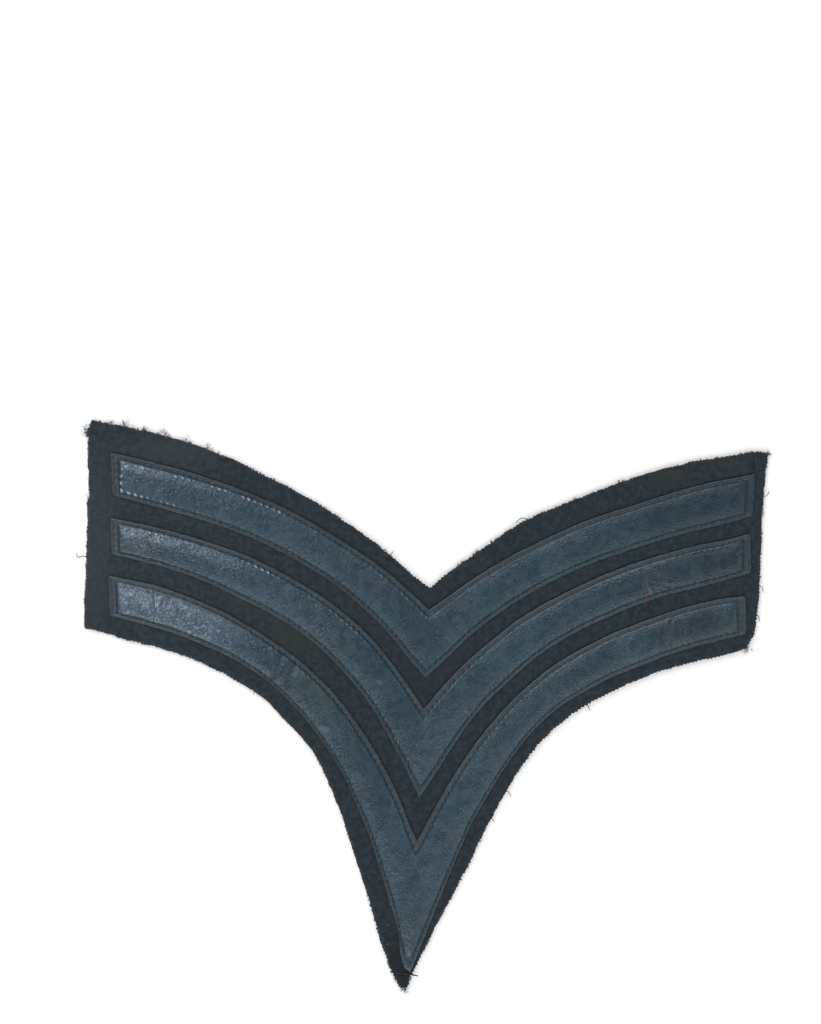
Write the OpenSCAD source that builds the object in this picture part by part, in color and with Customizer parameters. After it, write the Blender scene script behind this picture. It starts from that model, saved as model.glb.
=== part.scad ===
// Chevron rank patch: three stitched leather bars on a cloth backing, lying on its back.
// Millimetres, +Z up, the back of the cloth on z = 0, the point of the V towards -Y.
// The origin is the middle of the bounding box, on the back.

/* [Cloth backing] */
// Width of the patch from wing end to wing end
patch_w = 204.8; // [190:0.2:220]
// Height of the patch from the point to the wing tops
patch_h = 167.9; // [158:0.1:178]
// Thickness of the woollen cloth
cloth_t = 1.8; // [1:0.1:3]
// Rounding of the cloth at the point
point_r = 1.7; // [0.8:0.1:3]
// Sideways offset of the centre line of the V from the middle of the patch
point_x = 2.5; // [0:0.1:4]
// Depth of the uneven cut along the wing ends
end_wear = 1.3; // [0.4:0.1:2]
// Width of the corner clipped off the right wing end
clip_w = 5.9; // [3:0.1:9]

/* [Leather bars] */
// Width of a leather bar across its run
bar_w = 12.7; // [11.4:0.1:14.4]
// Thickness of the leather
leather_t = 1; // [1:0.1:1.6]
// Clearance between the cloth and the leather
seat_gap = 0.1; // [0.05:0.01:0.3]
// Cloth beyond the bars at the left wing end
left_margin = 7.7; // [6:0.1:11]
// Cloth beyond the bars at the right wing end
right_margin = 4.1; // [3:0.1:8]

/* [Stitched relief] */
// Width of the flat border between a bar's edge and its stitching
border_w = 1.6; // [1:0.1:2.4]
// Height of the puffed middle over the border
puff_h = 0.9; // [0.5:0.05:1.4]
// Height of the step in the leather along the stitching
puff_step = 0.25; // [0.1:0.05:0.3]
// Slope of the puffed middle at a wing end, in degrees
end_slope = 30; // [20:1:60]
// Depth of a fold across a bar
fold_depth = 0.35; // [0.1:0.05:0.35]
// Rounding of a fold
fold_r = 3; // [1.5:0.1:5]

/* [Hidden] */
$fn = 180;
half_w = patch_w / 2;
wing_ref = 0.928 * half_w;      // distance out from the centre line at which a wing height is taken
drawn_bar_w = 0.062 * patch_w;  // the bar width for which the edge tables hold
far = 2.5 * half_w;             // beyond every edge
over = 1;                       // how far a cutting body runs past what it cuts
lip = 0.25;                     // how far in from its limits the puffed middle starts at a wing end
ridge_step = 0.06;              // how much higher the left wing's puffed middle is where they meet
kink = 3;                       // degrees by which an edge turns where a straight run meets its bend

// Each edge runs straight from the centre line, bends once, and runs straight to the wing end.
// Columns: height on the centre line, rise there, height at wing_ref, rise there, bend radius.
// Heights and rises are shares of patch_h, a rise being per half_w, and radii shares of patch_w.
mid_y = 0;
mid_a = 1;
wing_y = 2;
wing_a = 3;
bend_r = 4;
left_shares = [
    [ 0.724, 0.460, 0.986, 0.059, 0.85],    // cloth, upper edge
    [ 0.681, 0.559, 0.936, 0.124, 0.76],    // top bar, upper edge
    [ 0.564, 0.753, 0.856, 0.141, 0.61],    // top bar, lower edge
    [ 0.503, 0.995, 0.824, 0.163, 0.49],    // middle bar, upper edge
    [ 0.348, 1.197, 0.753, 0.152, 0.46],    // middle bar, lower edge
    [ 0.268, 1.338, 0.714, 0.102, 0.51],    // bottom bar, upper edge
    [ 0.033, 1.771, 0.641, 0.135, 0.44],    // bottom bar, lower edge
    [-0.055, 1.589, 0.609, 0.135, 0.37],    // cloth, lower edge
];
right_shares = [
    [ 0.724, 0.610, 0.999, 0.135, 0.78],
    [ 0.681, 0.579, 0.965, 0.198, 0.78],
    [ 0.564, 0.610, 0.881, 0.204, 0.27],
    [ 0.503, 0.939, 0.864, 0.253, 0.54],
    [ 0.348, 0.957, 0.780, 0.228, 0.29],
    [ 0.268, 1.223, 0.747, 0.204, 0.54],
    [ 0.033, 1.771, 0.666, 0.186, 0.42],
    [ 0.017, 1.370, 0.642, 0.192, 0.37],
];
cloth_upper = 0;
cloth_lower = 7;

// Wing ends of the cloth. Columns: height as a share of patch_h, inset as a share of end_wear.
left_end = [[1.1, 0.3], [0.989, 0.3], [0.95, 0], [0.855, 0.9], [0.846, 0.3], [0.637, 1], [-0.1, 3.8]];
right_end = [[1.1, 0], [0.995, 0], [0.911, 0.4], [0.858, 0.5], [0.75, 0.25], [0.671, 1]];
// The clipped corner under it. Columns: height as a share of patch_h, inset as a share of clip_w.
right_clip = [[0.644, 0.63], [0.637, 1], [-0.1, 6.8]];

// Wing ends of the bars. Columns: inset at the upper and the lower corner, as shares of the margin.
left_bar_ends = [[0.83, 0.99], [0.96, 1.08], [1, 1.14]];
right_bar_ends = [[0.93, 0.98], [1.07, 0.85], [1.2, 0.98]];

// Folds across the bars. Columns: bar, side (-1 left, 1 right), distance out as a share of half_w,
// turn in degrees from square to the run.
folds = [
    [2, -1, 0.397,  7],
    [2, -1, 0.438, -7],
    [1,  1, 0.632,  2],
];

left_reach = half_w + point_x;
right_reach = half_w - point_x;
grow = (bar_w - drawn_bar_w) / 2;
bar_z = cloth_t + seat_gap;
border_z = bar_z + leather_t;
crown_z = border_z + puff_h;
crown_half = bar_w / 2 - border_w;
crown_drop = puff_h - puff_step;
crown_r = (pow(crown_half, 2) + pow(crown_drop, 2)) / (2 * crown_drop);
end_cut = 2 * bar_w;            // size of the blocks that slope the wing ends

// An edge in millimetres and degrees, worked out from its shares
function slope_of(share) = atan(share * patch_h / half_w);
function edge(row) = [row[mid_y] * patch_h, slope_of(row[mid_a]),
    row[wing_y] * patch_h, slope_of(row[wing_a]), row[bend_r] * patch_w];
left_edges = [for (row = left_shares) edge(row)];
right_edges = [for (row = right_shares) edge(row)];

// An edge moved square to its run, upwards for a positive distance
function moved(e, d) = [e[mid_y] + d / cos(e[mid_a]), e[mid_a],
    e[wing_y] + d / cos(e[wing_a]), e[wing_a], e[bend_r] + d];
// The line halfway between two edges
function halfway(a, b) = (a + b) / 2;

// Where the two straight runs of an edge would cross
function corner_x(e) =
    (e[wing_y] - wing_ref * tan(e[wing_a]) - e[mid_y]) / (tan(e[mid_a]) - tan(e[wing_a]));
function corner(e) = [corner_x(e), e[mid_y] + corner_x(e) * tan(e[mid_a])];

// The bend: an arc that meets each straight run at a small kink
function along(a) = [cos(a), sin(a)];
function square_to(a) = [-sin(a), cos(a)];
function half_turn(e) = (e[mid_a] - e[wing_a]) / 2;
function cut_back(e) = e[bend_r] * tan(half_turn(e));
function bend_start(e) = corner(e) - cut_back(e) * along(e[mid_a]);
function bend_end(e) = corner(e) + cut_back(e) * along(e[wing_a]);
function arc_r(e) = cut_back(e) * cos(half_turn(e)) / sin(half_turn(e) - kink);
function bend_centre(e) = bend_start(e) - arc_r(e) * square_to(e[mid_a] - kink);

// Height and slope of an edge at a distance out from the centre line
function edge_y(e, x) =
    x < bend_start(e)[0] ? e[mid_y] + x * tan(e[mid_a])
    : x > bend_end(e)[0] ? e[wing_y] + (x - wing_ref) * tan(e[wing_a])
    : bend_centre(e)[1] + sqrt(pow(arc_r(e), 2) - pow(x - bend_centre(e)[0], 2));
function edge_a(e, x) =
    x < bend_start(e)[0] ? e[mid_a]
    : x > bend_end(e)[0] ? e[wing_a]
    : atan2(bend_centre(e)[0] - x, edge_y(e, x) - bend_centre(e)[1]);

// Middle of the rounding at the point: it crosses both lower edges of the cloth at the kink
left_low = moved(left_edges[cloth_lower], point_r * cos(kink));
right_low = moved(right_edges[cloth_lower], point_r * cos(kink));
point_out = (left_low[mid_y] - right_low[mid_y]) / (tan(left_low[mid_a]) + tan(right_low[mid_a]));
point_mid = [point_out, right_low[mid_y] + point_out * tan(right_low[mid_a])];

// The height of the bounding box and its middle
left_top = edge_y(left_edges[cloth_upper], left_reach);
right_top = edge_y(right_edges[cloth_upper], right_reach);
y_low = point_mid[1] - point_r;
y_high = min(patch_h, max(left_top, right_top));
centre_y = (y_low + y_high) / 2;

// Everything below an edge, as a slab drawn for the right wing: the sharp corner of the two
// straight runs, less what lies outside the bend
module below(e, h) {
    k = corner(e);
    back = arc_r(e) * kink * PI / 180;
    s = bend_start(e) - back * along(e[mid_a]);
    t = bend_end(e) + back * along(e[wing_a]);
    up_s = square_to(e[mid_a]);
    up_t = square_to(e[wing_a]);
    difference() {
        linear_extrude(height = h) polygon([
            [-far, e[mid_y] - far * tan(e[mid_a])], k,
            [far, e[wing_y] + (far - wing_ref) * tan(e[wing_a])], [far, -4 * far], [-far, -4 * far],
        ]);
        difference() {
            translate([0, 0, -over]) linear_extrude(height = h + 2 * over) polygon([
                s - over * up_s, s + half_w * up_s, k + [0, far], t + half_w * up_t, t - over * up_t,
            ]);
            translate([bend_centre(e)[0], bend_centre(e)[1], -2 * over])
                cylinder(r = arc_r(e), h = h + 4 * over);
        }
    }
}

// Everything below an edge of both wings
module below_both(left, right, h) {
    mirror([1, 0, 0]) below(left, h);
    below(right, h);
}

// A V between its upper and its lower edges
module vee(left_up, right_up, left_down, right_down, h) {
    difference() {
        below_both(left_up, right_up, h);
        below_both(left_down, right_down, h);
    }
}

// The outline that the two wing ends and the wing tops give the cloth
function end_point(x, share) = [x, min(share, 1) * patch_h];
module cloth_limits() {
    left = [for (p = left_end) end_point(p[1] * end_wear - left_reach, p[0])];
    right = [for (p = right_end) end_point(right_reach - p[1] * end_wear, p[0])];
    clip = [for (p = right_clip) end_point(right_reach - p[1] * clip_w, p[0])];
    down = concat(right, clip);
    polygon(concat(left, [for (i = [len(down) - 1 : -1 : 0]) down[i]]));
}

// What the rounding takes off the sharp corner at the point
module point_corner() {
    reach = 2 * point_r;
    difference() {
        translate([0, 0, -over]) linear_extrude(height = cloth_t + 2 * over) polygon([
            point_mid,
            point_mid - reach * [sin(left_low[mid_a]), cos(left_low[mid_a])],
            point_mid - [0, 3 * reach / cos(left_low[mid_a])],
            point_mid + reach * [sin(right_low[mid_a]), -cos(right_low[mid_a])],
        ]);
        translate([point_mid[0], point_mid[1], -2 * over]) cylinder(r = point_r, h = cloth_t + 4 * over);
    }
}

module cloth() {
    difference() {
        intersection() {
            vee(left_edges[cloth_upper], right_edges[cloth_upper],
                left_edges[cloth_lower], right_edges[cloth_lower], cloth_t);
            linear_extrude(height = cloth_t) cloth_limits();
        }
        point_corner();
    }
}

// The rows of a bar's upper and lower edge in the edge tables
function up(bar) = 2 * bar + 1;
function down(bar) = 2 * bar + 2;

// A bar as a slab, with every edge moved in by a distance
module bar_slab(bar, inset, h) {
    d = grow - inset;
    intersection() {
        vee(moved(left_edges[up(bar)], d), moved(right_edges[up(bar)], d),
            moved(left_edges[down(bar)], -d), moved(right_edges[down(bar)], -d), h);
        linear_extrude(height = h) bar_limits(bar, inset);
    }
}

// The line of a wing end through its two corners, carried on both ways by twice its length
function end_line(edges, bar, reach, insets) =
    let (a = [reach - insets[0], edge_y(edges[up(bar)], reach - insets[0])],
        b = [reach - insets[1], edge_y(edges[down(bar)], reach - insets[1])])
    [a + 2 * (a - b), b + 2 * (b - a)];
function left_line(bar, inset) =
    end_line(left_edges, bar, left_reach - inset, left_margin * left_bar_ends[bar]);
function right_line(bar, inset) =
    end_line(right_edges, bar, right_reach - inset, right_margin * right_bar_ends[bar]);

// Between the two wing ends of a bar
module bar_limits(bar, inset) {
    left = left_line(bar, inset);
    right = right_line(bar, inset);
    polygon([
        [-left[0][0], left[0][1]], [-left[1][0], left[1][1]], [-left[1][0], -far],
        [right[1][0], -far], right[1], right[0],
    ]);
}

// Cross-section of the puffed middle, down to halfway through the leather
module crown_section() {
    intersection() {
        translate([0, crown_z - crown_r]) circle(r = crown_r);
        translate([-far, bar_z + leather_t / 2]) square([2 * far, crown_z]);
    }
}

// Middle of the circle through three points
function circle_middle(a, b, c) =
    let (u = b - a, v = c - a, k = 2 * (u[0] * v[1] - u[1] * v[0]))
    a + [v[1] * (u * u) - u[1] * (v * v), u[0] * (v * v) - v[0] * (u * u)] / k;
// Middle of the ring that carries the puffed middle of one wing: its run is a circle through
// three places on the line halfway between the bar's edges
function ring_middle(e) =
    circle_middle([0, e[mid_y]], [wing_ref / 2, edge_y(e, wing_ref / 2)], [wing_ref, e[wing_y]]);
// The slope at which that circle leaves the centre line
function ring_slope(e) =
    let (m = ring_middle(e))
    atan2(m[0], e[mid_y] - m[1]);

module crown_ring(e) {
    m = ring_middle(e);
    translate(m) rotate_extrude() translate([norm([0, e[mid_y]] - m), 0]) crown_section();
}

// One side of the line on which the two wings of the puffed middle meet: side 0 right, -1 left
module mitre_side(left, right, side) {
    turn = (ring_slope(right) - ring_slope(left)) / 2;
    translate([0, right[mid_y], 0]) rotate([0, 0, turn])
        translate([side * far, -far, 0]) cube([far, 2 * far, 2 * crown_z]);
}

// Both wings of the puffed middle
module crown(left, right) {
    intersection() {
        crown_ring(right);
        mitre_side(left, right, 0);
    }
    intersection() {
        translate([0, 0, ridge_step]) mirror([1, 0, 0]) crown_ring(left);
        mitre_side(left, right, -1);
    }
}

// A block that slopes the puffed middle down to the border at a wing end
module end_block(line) {
    middle = (line[0] + line[1]) / 2;
    lean = atan2(line[0][0] - line[1][0], line[0][1] - line[1][1]);
    translate([middle[0], middle[1], border_z]) rotate([0, 0, -lean]) rotate([0, end_slope, 0])
        translate([-end_cut, -end_cut, 0]) cube([2 * end_cut, 2 * end_cut, end_cut]);
}

module fold_groove(path, out, turn) {
    translate([out, edge_y(path, out), crown_z + fold_r - fold_depth])
        rotate([0, 0, edge_a(path, out) + turn])
        rotate([90, 0, 0]) cylinder(r = fold_r, h = 2 * bar_w, center = true);
}

module leather_bar(bar) {
    left = halfway(left_edges[up(bar)], left_edges[down(bar)]);
    right = halfway(right_edges[up(bar)], right_edges[down(bar)]);
    translate([0, 0, bar_z]) bar_slab(bar, 0, leather_t);
    difference() {
        intersection() {
            crown(left, right);
            bar_slab(bar, border_w, crown_z + over);
        }
        end_block(right_line(bar, border_w + lip));
        mirror([1, 0, 0]) end_block(left_line(bar, border_w + lip));
        for (f = folds) if (f[0] == bar) {
            if (f[1] > 0) fold_groove(right, f[2] * half_w, f[3]);
            else mirror([1, 0, 0]) fold_groove(left, f[2] * half_w, f[3]);
        }
    }
}

// From the centre line and the height over the point to the middle of the bounding box
module seated() {
    translate([point_x, -centre_y, 0]) children();
}

module backing_cloth() {
    color([0.21, 0.24, 0.27]) seated() cloth();
}

module top_bar() {
    color([0.24, 0.31, 0.36]) seated() leather_bar(0);
}

module middle_bar() {
    color([0.23, 0.30, 0.35]) seated() leather_bar(1);
}

module bottom_bar() {
    color([0.24, 0.31, 0.35]) seated() leather_bar(2);
}

backing_cloth();
top_bar();
middle_bar();
bottom_bar();
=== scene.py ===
import math
import bpy
import numpy as np
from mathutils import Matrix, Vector, kdtree
from mathutils.geometry import delaunay_2d_cdt


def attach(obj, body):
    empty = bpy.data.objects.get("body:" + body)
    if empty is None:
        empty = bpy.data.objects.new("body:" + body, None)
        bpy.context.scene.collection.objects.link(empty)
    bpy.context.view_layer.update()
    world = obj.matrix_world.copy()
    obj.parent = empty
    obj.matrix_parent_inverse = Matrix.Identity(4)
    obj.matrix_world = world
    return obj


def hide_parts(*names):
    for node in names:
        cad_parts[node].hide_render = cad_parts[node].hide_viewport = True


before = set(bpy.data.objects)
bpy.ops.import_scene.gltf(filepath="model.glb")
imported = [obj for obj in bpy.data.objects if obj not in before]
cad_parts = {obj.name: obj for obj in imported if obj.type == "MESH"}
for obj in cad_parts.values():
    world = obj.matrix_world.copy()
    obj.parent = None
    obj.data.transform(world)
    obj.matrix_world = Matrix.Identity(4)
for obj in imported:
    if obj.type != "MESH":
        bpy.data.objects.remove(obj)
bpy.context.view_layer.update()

mm = 0.001                    # everything below is worked out in millimetres and made in metres
fullTurn = 2 * math.pi
straightUp = np.array([0, 0, 1.0])


def intoScene(thing):
    bpy.context.scene.collection.objects.link(thing)


# The camera looks straight down at the patch, a little turned, as it was laid under the lens
cameraView = {
    "above": (-4.65, 60.3),   # the place under the lens, mm
    "height": 859,            # of the lens, mm
    "turn": 3.0,              # degrees
    "lens": 100,
    "sensor": 36,
    "nearest": 10,            # what is nearer to the lens isn't seen, mm
}


def makeCamera():
    data = bpy.data.cameras.new("cameraAbove")
    data.lens = cameraView["lens"]
    data.sensor_width = cameraView["sensor"]
    data.clip_start = cameraView["nearest"] * mm
    camera = bpy.data.objects.new("cameraAbove", data)
    x, y = cameraView["above"]
    camera.location = (x * mm, y * mm, cameraView["height"] * mm)
    camera.rotation_euler = (0, 0, math.radians(cameraView["turn"]))
    intoScene(camera)
    bpy.context.scene.camera = camera


makeCamera()
print("camera ready")


# Shapes and random hills

def hills(x, y, size, seed):
    # smooth random heights between -1 and 1, one hill every `size` mm
    count = 256
    table = np.random.RandomState(seed).uniform(-1, 1, (count, count))
    u = np.asarray(x, float) / size + 1000.5
    v = np.asarray(y, float) / size + 1000.5
    i = np.floor(u).astype(int)
    j = np.floor(v).astype(int)
    a = u - i
    b = v - j
    a = a * a * (3 - 2 * a)
    b = b * b * (3 - 2 * b)
    near = table[i % count, j % count] * (1 - a) + table[(i + 1) % count, j % count] * a
    far = table[i % count, (j + 1) % count] * (1 - a) + table[(i + 1) % count, (j + 1) % count] * a
    return near * (1 - b) + far * b


def pebbled(x, y, size, seed):
    # leather grain about `size` mm across: creases between the pebbles, -1 to 0, and each pebble's own lean
    count = 128
    table = np.random.RandomState(seed).uniform(0, 1, (count, count, 4))
    u = np.asarray(x, float) / size + 500.5
    v = np.asarray(y, float) / size + 500.5
    nearest = np.full(u.shape, 9.0)
    second = nearest.copy()
    lean = np.zeros(u.shape)
    for across in (-1, 0, 1):
        for along in (-1, 0, 1):
            i = np.floor(u).astype(int) + across
            j = np.floor(v).astype(int) + along
            cell = table[i % count, j % count]
            du = u - i - cell[..., 0]
            dv = v - j - cell[..., 1]
            away = np.hypot(du, dv)
            nearer = away < nearest
            second = np.where(nearer, nearest, np.minimum(second, away))
            lean = np.where(nearer, du * (cell[..., 2] * 2 - 1) + dv * (cell[..., 3] * 2 - 1), lean)
            nearest = np.where(nearer, away, nearest)
    return ease(second - nearest, 0, 0.4) - 1, lean * size


def ease(value, start, end):
    # 0 before start, 1 after end, smooth between
    t = np.clip((np.asarray(value, float) - start) / (end - start), 0, 1)
    return t * t * (3 - 2 * t)


def bell(distance, width):
    return np.exp(-(np.asarray(distance, float) / width) ** 2)


def turned(x, y, degrees):
    # along and across a line that runs at this angle
    c = math.cos(math.radians(degrees))
    s = math.sin(math.radians(degrees))
    return x * c + y * s, -x * s + y * c


def segmentDistance(x, y, a, b):
    # signed distance from the line a to b, and how far outside its ends
    a = np.array(a, float)
    along = np.array(b, float) - a
    size = np.linalg.norm(along)
    along /= size
    s = (x - a[0]) * along[0] + (y - a[1]) * along[1]
    off = (x - a[0]) * along[1] - (y - a[1]) * along[0]
    beyond = np.maximum(np.maximum(-s, s - size), 0)
    return off, beyond


def cadOutline(nodeName):
    # the loop round the underside of a CAD node in mm, anticlockwise seen from above
    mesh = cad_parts[nodeName].data
    places = {}
    ids = [places.setdefault(tuple(round(c / mm, 3) for c in v.co), len(places)) for v in mesh.vertices]
    spots = np.array(list(places))
    underside = spots[:, 2].min() + 0.01
    sides = set()
    for face in mesh.polygons:
        ring = [ids[v] for v in face.vertices]
        if max(spots[i][2] for i in ring) < underside:
            sides.update(zip(ring, ring[1:] + ring[:1]))
    following = {a: b for a, b in sides if (b, a) not in sides}
    first = min(following)
    loop = [first]
    while following[loop[-1]] != first:
        loop.append(following[loop[-1]])
    return spots[loop][::-1, :2]


def lengthAlong(points):
    return np.concatenate([[0], np.cumsum(np.linalg.norm(np.diff(points, axis=0), axis=1))])


def resampled(points, step):
    # the same line with evenly spaced points
    run = lengthAlong(points)
    places = np.linspace(0, run[-1], max(int(run[-1] / step), 2) + 1)
    return np.stack([np.interp(places, run, points[:, k]) for k in range(2)], 1)


def softened(points, step, reach):
    # an open line with its facets rounded off, both ends kept
    line = resampled(points, step)
    count = int(reach / step)
    before = 2 * line[0] - line[count:0:-1]
    after = 2 * line[-1] - line[-2:-2 - count:-1]
    padded = np.concatenate([before, line, after])
    weights = bell(np.arange(-count, count + 1) * step, reach / 2)
    weights /= weights.sum()
    return np.stack([np.convolve(padded[:, k], weights, "valid") for k in range(2)], 1)


def curveThrough(values, places):
    # a smooth curve through evenly spaced values, at places from 0 to 1
    values = np.asarray(values, float)
    padded = np.concatenate([[2 * values[0] - values[1]], values, [2 * values[-1] - values[-2]]])
    t = np.clip(places, 0, 1) * (len(values) - 1)
    i = np.minimum(t.astype(int), len(values) - 2)
    f = t - i
    a, b, c, d = [padded[i + k] for k in range(4)]
    return 0.5 * (2 * b + (c - a) * f + (2 * a - 5 * b + 4 * c - d) * f ** 2
                  + (3 * b - a - 3 * c + d) * f ** 3)


def closedLoop(points):
    return np.concatenate([points, points[:1]])


def unit(vectors):
    return vectors / np.linalg.norm(vectors, axis=1)[:, None]


def normalsOf(points, closed=False):
    # to the right of the way the line runs, which is outward for an anticlockwise loop
    if closed:
        ahead = np.roll(points, -1, 0) - np.roll(points, 1, 0)
    else:
        ahead = np.gradient(points, axis=0)
    ahead = unit(ahead)
    return np.stack([ahead[:, 1], -ahead[:, 0]], 1)


def cornersOf(loop, count):
    # the sharpest corners of a loop, as places in it, in order
    ahead = np.roll(loop, -1, 0) - loop
    angle = np.arctan2(ahead[:, 1], ahead[:, 0])
    turn = (angle - np.roll(angle, 1) + math.pi) % fullTurn - math.pi
    return sorted(np.argsort(-np.abs(turn))[:count])


def insideLoop(loop, x, y):
    # which of the points lie inside a loop
    inside = np.zeros(len(x), bool)
    for a, b in zip(loop, np.roll(loop, -1, 0)):
        crosses = (a[1] > y) != (b[1] > y)
        if a[1] != b[1]:
            inside ^= crosses & (x < a[0] + (y - a[1]) * (b[0] - a[0]) / (b[1] - a[1]))
    return inside


def treeOf(points):
    found = kdtree.KDTree(len(points))
    for i, p in enumerate(points):
        found.insert((p[0], p[1], 0), i)
    found.balance()
    return found


def tubeFaces(start, ringCount, sides):
    # the faces of a tube made of rings of points, closed at both ends
    faces = []
    for a in range(start, start + (ringCount - 1) * sides, sides):
        for b in range(sides):
            c = (b + 1) % sides
            faces.append((a + b, a + c, a + sides + c, a + sides + b))
    last = start + (ringCount - 1) * sides
    faces.append(tuple(start + b for b in reversed(range(sides))))
    faces.append(tuple(last + b for b in range(sides)))
    return faces


def makePiece(name, points, faces, material, values):
    # points in mm, values are numbers kept at each point for the materials
    mesh = bpy.data.meshes.new(name)
    mesh.from_pydata((np.asarray(points) * mm).tolist(), [], faces)
    mesh.polygons.foreach_set("use_smooth", [True] * len(mesh.polygons))
    for label, numbers in values.items():
        layer = mesh.attributes.new(label, "FLOAT", "POINT")
        layer.data.foreach_set("value", np.asarray(numbers, np.float32))
    mesh.materials.append(material)
    piece = bpy.data.objects.new(name, mesh)
    intoScene(piece)
    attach(piece, "root")
    return piece


# Shader node helpers

def addNode(tree, kind, inputs, **settings):
    made = tree.nodes.new(kind)
    for key, value in settings.items():
        setattr(made, key, value)
    for key, value in inputs.items():
        if isinstance(value, bpy.types.NodeSocket):
            tree.links.new(value, made.inputs[key])
        else:
            made.inputs[key].default_value = value
    return made


def maths(tree, operation, a, b=0.0, clamp=False):
    return addNode(tree, "ShaderNodeMath", {0: a, 1: b}, operation=operation, use_clamp=clamp).outputs[0]


def times(tree, a, b, clamp=False):
    return maths(tree, "MULTIPLY", a, b, clamp)


def apart(tree, a, b):
    return maths(tree, "ABSOLUTE", maths(tree, "SUBTRACT", a, b))


def vectorMaths(tree, operation, a, b):
    return addNode(tree, "ShaderNodeVectorMath", {0: a, 1: b}, operation=operation).outputs["Vector"]


def scaled(tree, vector, factor):
    return addNode(tree, "ShaderNodeVectorMath", {0: vector, 3: factor}, operation="SCALE").outputs["Vector"]


def perMm(tree, vector, size):
    # coordinates counted in steps of `size` mm
    return scaled(tree, vector, maths(tree, "DIVIDE", 1 / mm, size))


def blendColour(tree, share, a, b):
    # a and b are sockets or plain (red, green, blue)
    a, b = [(*c, 1.0) if isinstance(c, tuple) else c for c in (a, b)]
    return addNode(tree, "ShaderNodeMix", {0: share, 6: a, 7: b}, data_type="RGBA").outputs[2]


def ramp(tree, value, low, high, toLow=0.0, toHigh=1.0):
    made = addNode(tree, "ShaderNodeMapRange", {0: value, 1: low, 2: high, 3: toLow, 4: toHigh},
                   interpolation_type="SMOOTHSTEP")
    return made.outputs[0]


def noiseAt(tree, vector, scale, detail, **more):
    inputs = {"Vector": vector, "Scale": scale, "Detail": detail, **more}
    return addNode(tree, "ShaderNodeTexNoise", inputs).outputs


def cellsAt(tree, vector, scale, feature="F1", **more):
    return addNode(tree, "ShaderNodeTexVoronoi", {"Vector": vector, "Scale": scale, **more},
                   feature=feature).outputs


def newGroup(name, inputs, outputs=("Mask",)):
    # the inputs are numbers, or vectors where their first value is one or is left open
    group = bpy.data.node_groups.new(name, "ShaderNodeTree")
    for label, value in inputs.items():
        kind = "NodeSocketFloat" if isinstance(value, float) else "NodeSocketVector"
        socket = group.interface.new_socket(name=label, in_out="INPUT", socket_type=kind)
        if value is not None:
            socket.default_value = value
    for label in outputs:
        group.interface.new_socket(name=label, in_out="OUTPUT", socket_type="NodeSocketFloat")
    return group, group.nodes.new("NodeGroupInput").outputs, group.nodes.new("NodeGroupOutput").inputs


def useGroup(tree, group, **inputs):
    return addNode(tree, "ShaderNodeGroup", inputs, node_tree=group).outputs


def mottleGroup():
    # cloudy patches of about Size mm, 0 to 1
    group, given, out = newGroup("mottle", {
        "Vector": None, "Size": 8.0, "Detail": 3.0, "From": 0.4, "To": 0.6})
    inSteps = perMm(group, given["Vector"], given["Size"])
    noise = noiseAt(group, inSteps, 1.0, given["Detail"], Roughness=0.6)[0]
    group.links.new(ramp(group, noise, given["From"], given["To"]), out["Mask"])
    return group


def spotGroup():
    # a ragged spot at Centre, Reach mm long each way
    group, given, out = newGroup("spot", {
        "Vector": None, "Centre": (0, 0, 0), "Reach": (5, 5, 5), "Ragged": 0.5})
    inMm = perMm(group, given["Vector"], 1.0)
    noise = noiseAt(group, inMm, 0.55, 4.0)[0]
    fromCentre = vectorMaths(group, "SUBTRACT", inMm, given["Centre"])
    away = vectorMaths(group, "DIVIDE", fromCentre, given["Reach"])
    distance = addNode(group, "ShaderNodeVectorMath", {0: away}, operation="LENGTH").outputs["Value"]
    shake = times(group, maths(group, "SUBTRACT", noise, 0.5), given["Ragged"])
    group.links.new(ramp(group, maths(group, "ADD", distance, shake), 1.0, 0.25), out["Mask"])
    return group


def pebbleGroup():
    # rounded pebbles of about Size mm with finer ones on them
    group, given, out = newGroup("pebbles", {"Vector": None, "Size": 0.6, "Uneven": 0.5}, ["Height"])
    inSteps = perMm(group, given["Vector"], given["Size"])
    warp = noiseAt(group, inSteps, 0.7, 2.0)["Color"]
    moved = vectorMaths(group, "ADD", inSteps, scaled(group, warp, given["Uneven"]))
    large = cellsAt(group, moved, 1.0, "SMOOTH_F1", Smoothness=0.4)["Distance"]
    small = cellsAt(group, moved, 2.3)["Distance"]
    fine = noiseAt(group, moved, 3.5, 4.0)[0]
    height = times(group, large, -0.7)
    for layer, depth in ((small, -0.25), (fine, 0.35)):
        height = maths(group, "ADD", height, times(group, layer, depth))
    group.links.new(height, out["Height"])
    return group


def crackleGroup():
    # a broken net of thin lines, painted glints on the tops of creased leather, Size mm apart
    group, given, out = newGroup("crackle", {"Vector": None, "Size": 0.9, "Width": 0.035})
    inSteps = perMm(group, given["Vector"], given["Size"])
    net = noiseAt(group, inSteps, 1.0, 2.0, Distortion=0.8)[0]
    strength = noiseAt(group, inSteps, 0.7, 1.0)[0]
    line = ramp(group, apart(group, net, 0.5), given["Width"], 0.0)
    group.links.new(times(group, line, ramp(group, strength, 0.38, 0.62, 0.15, 1.0)), out["Mask"])
    return group


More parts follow.
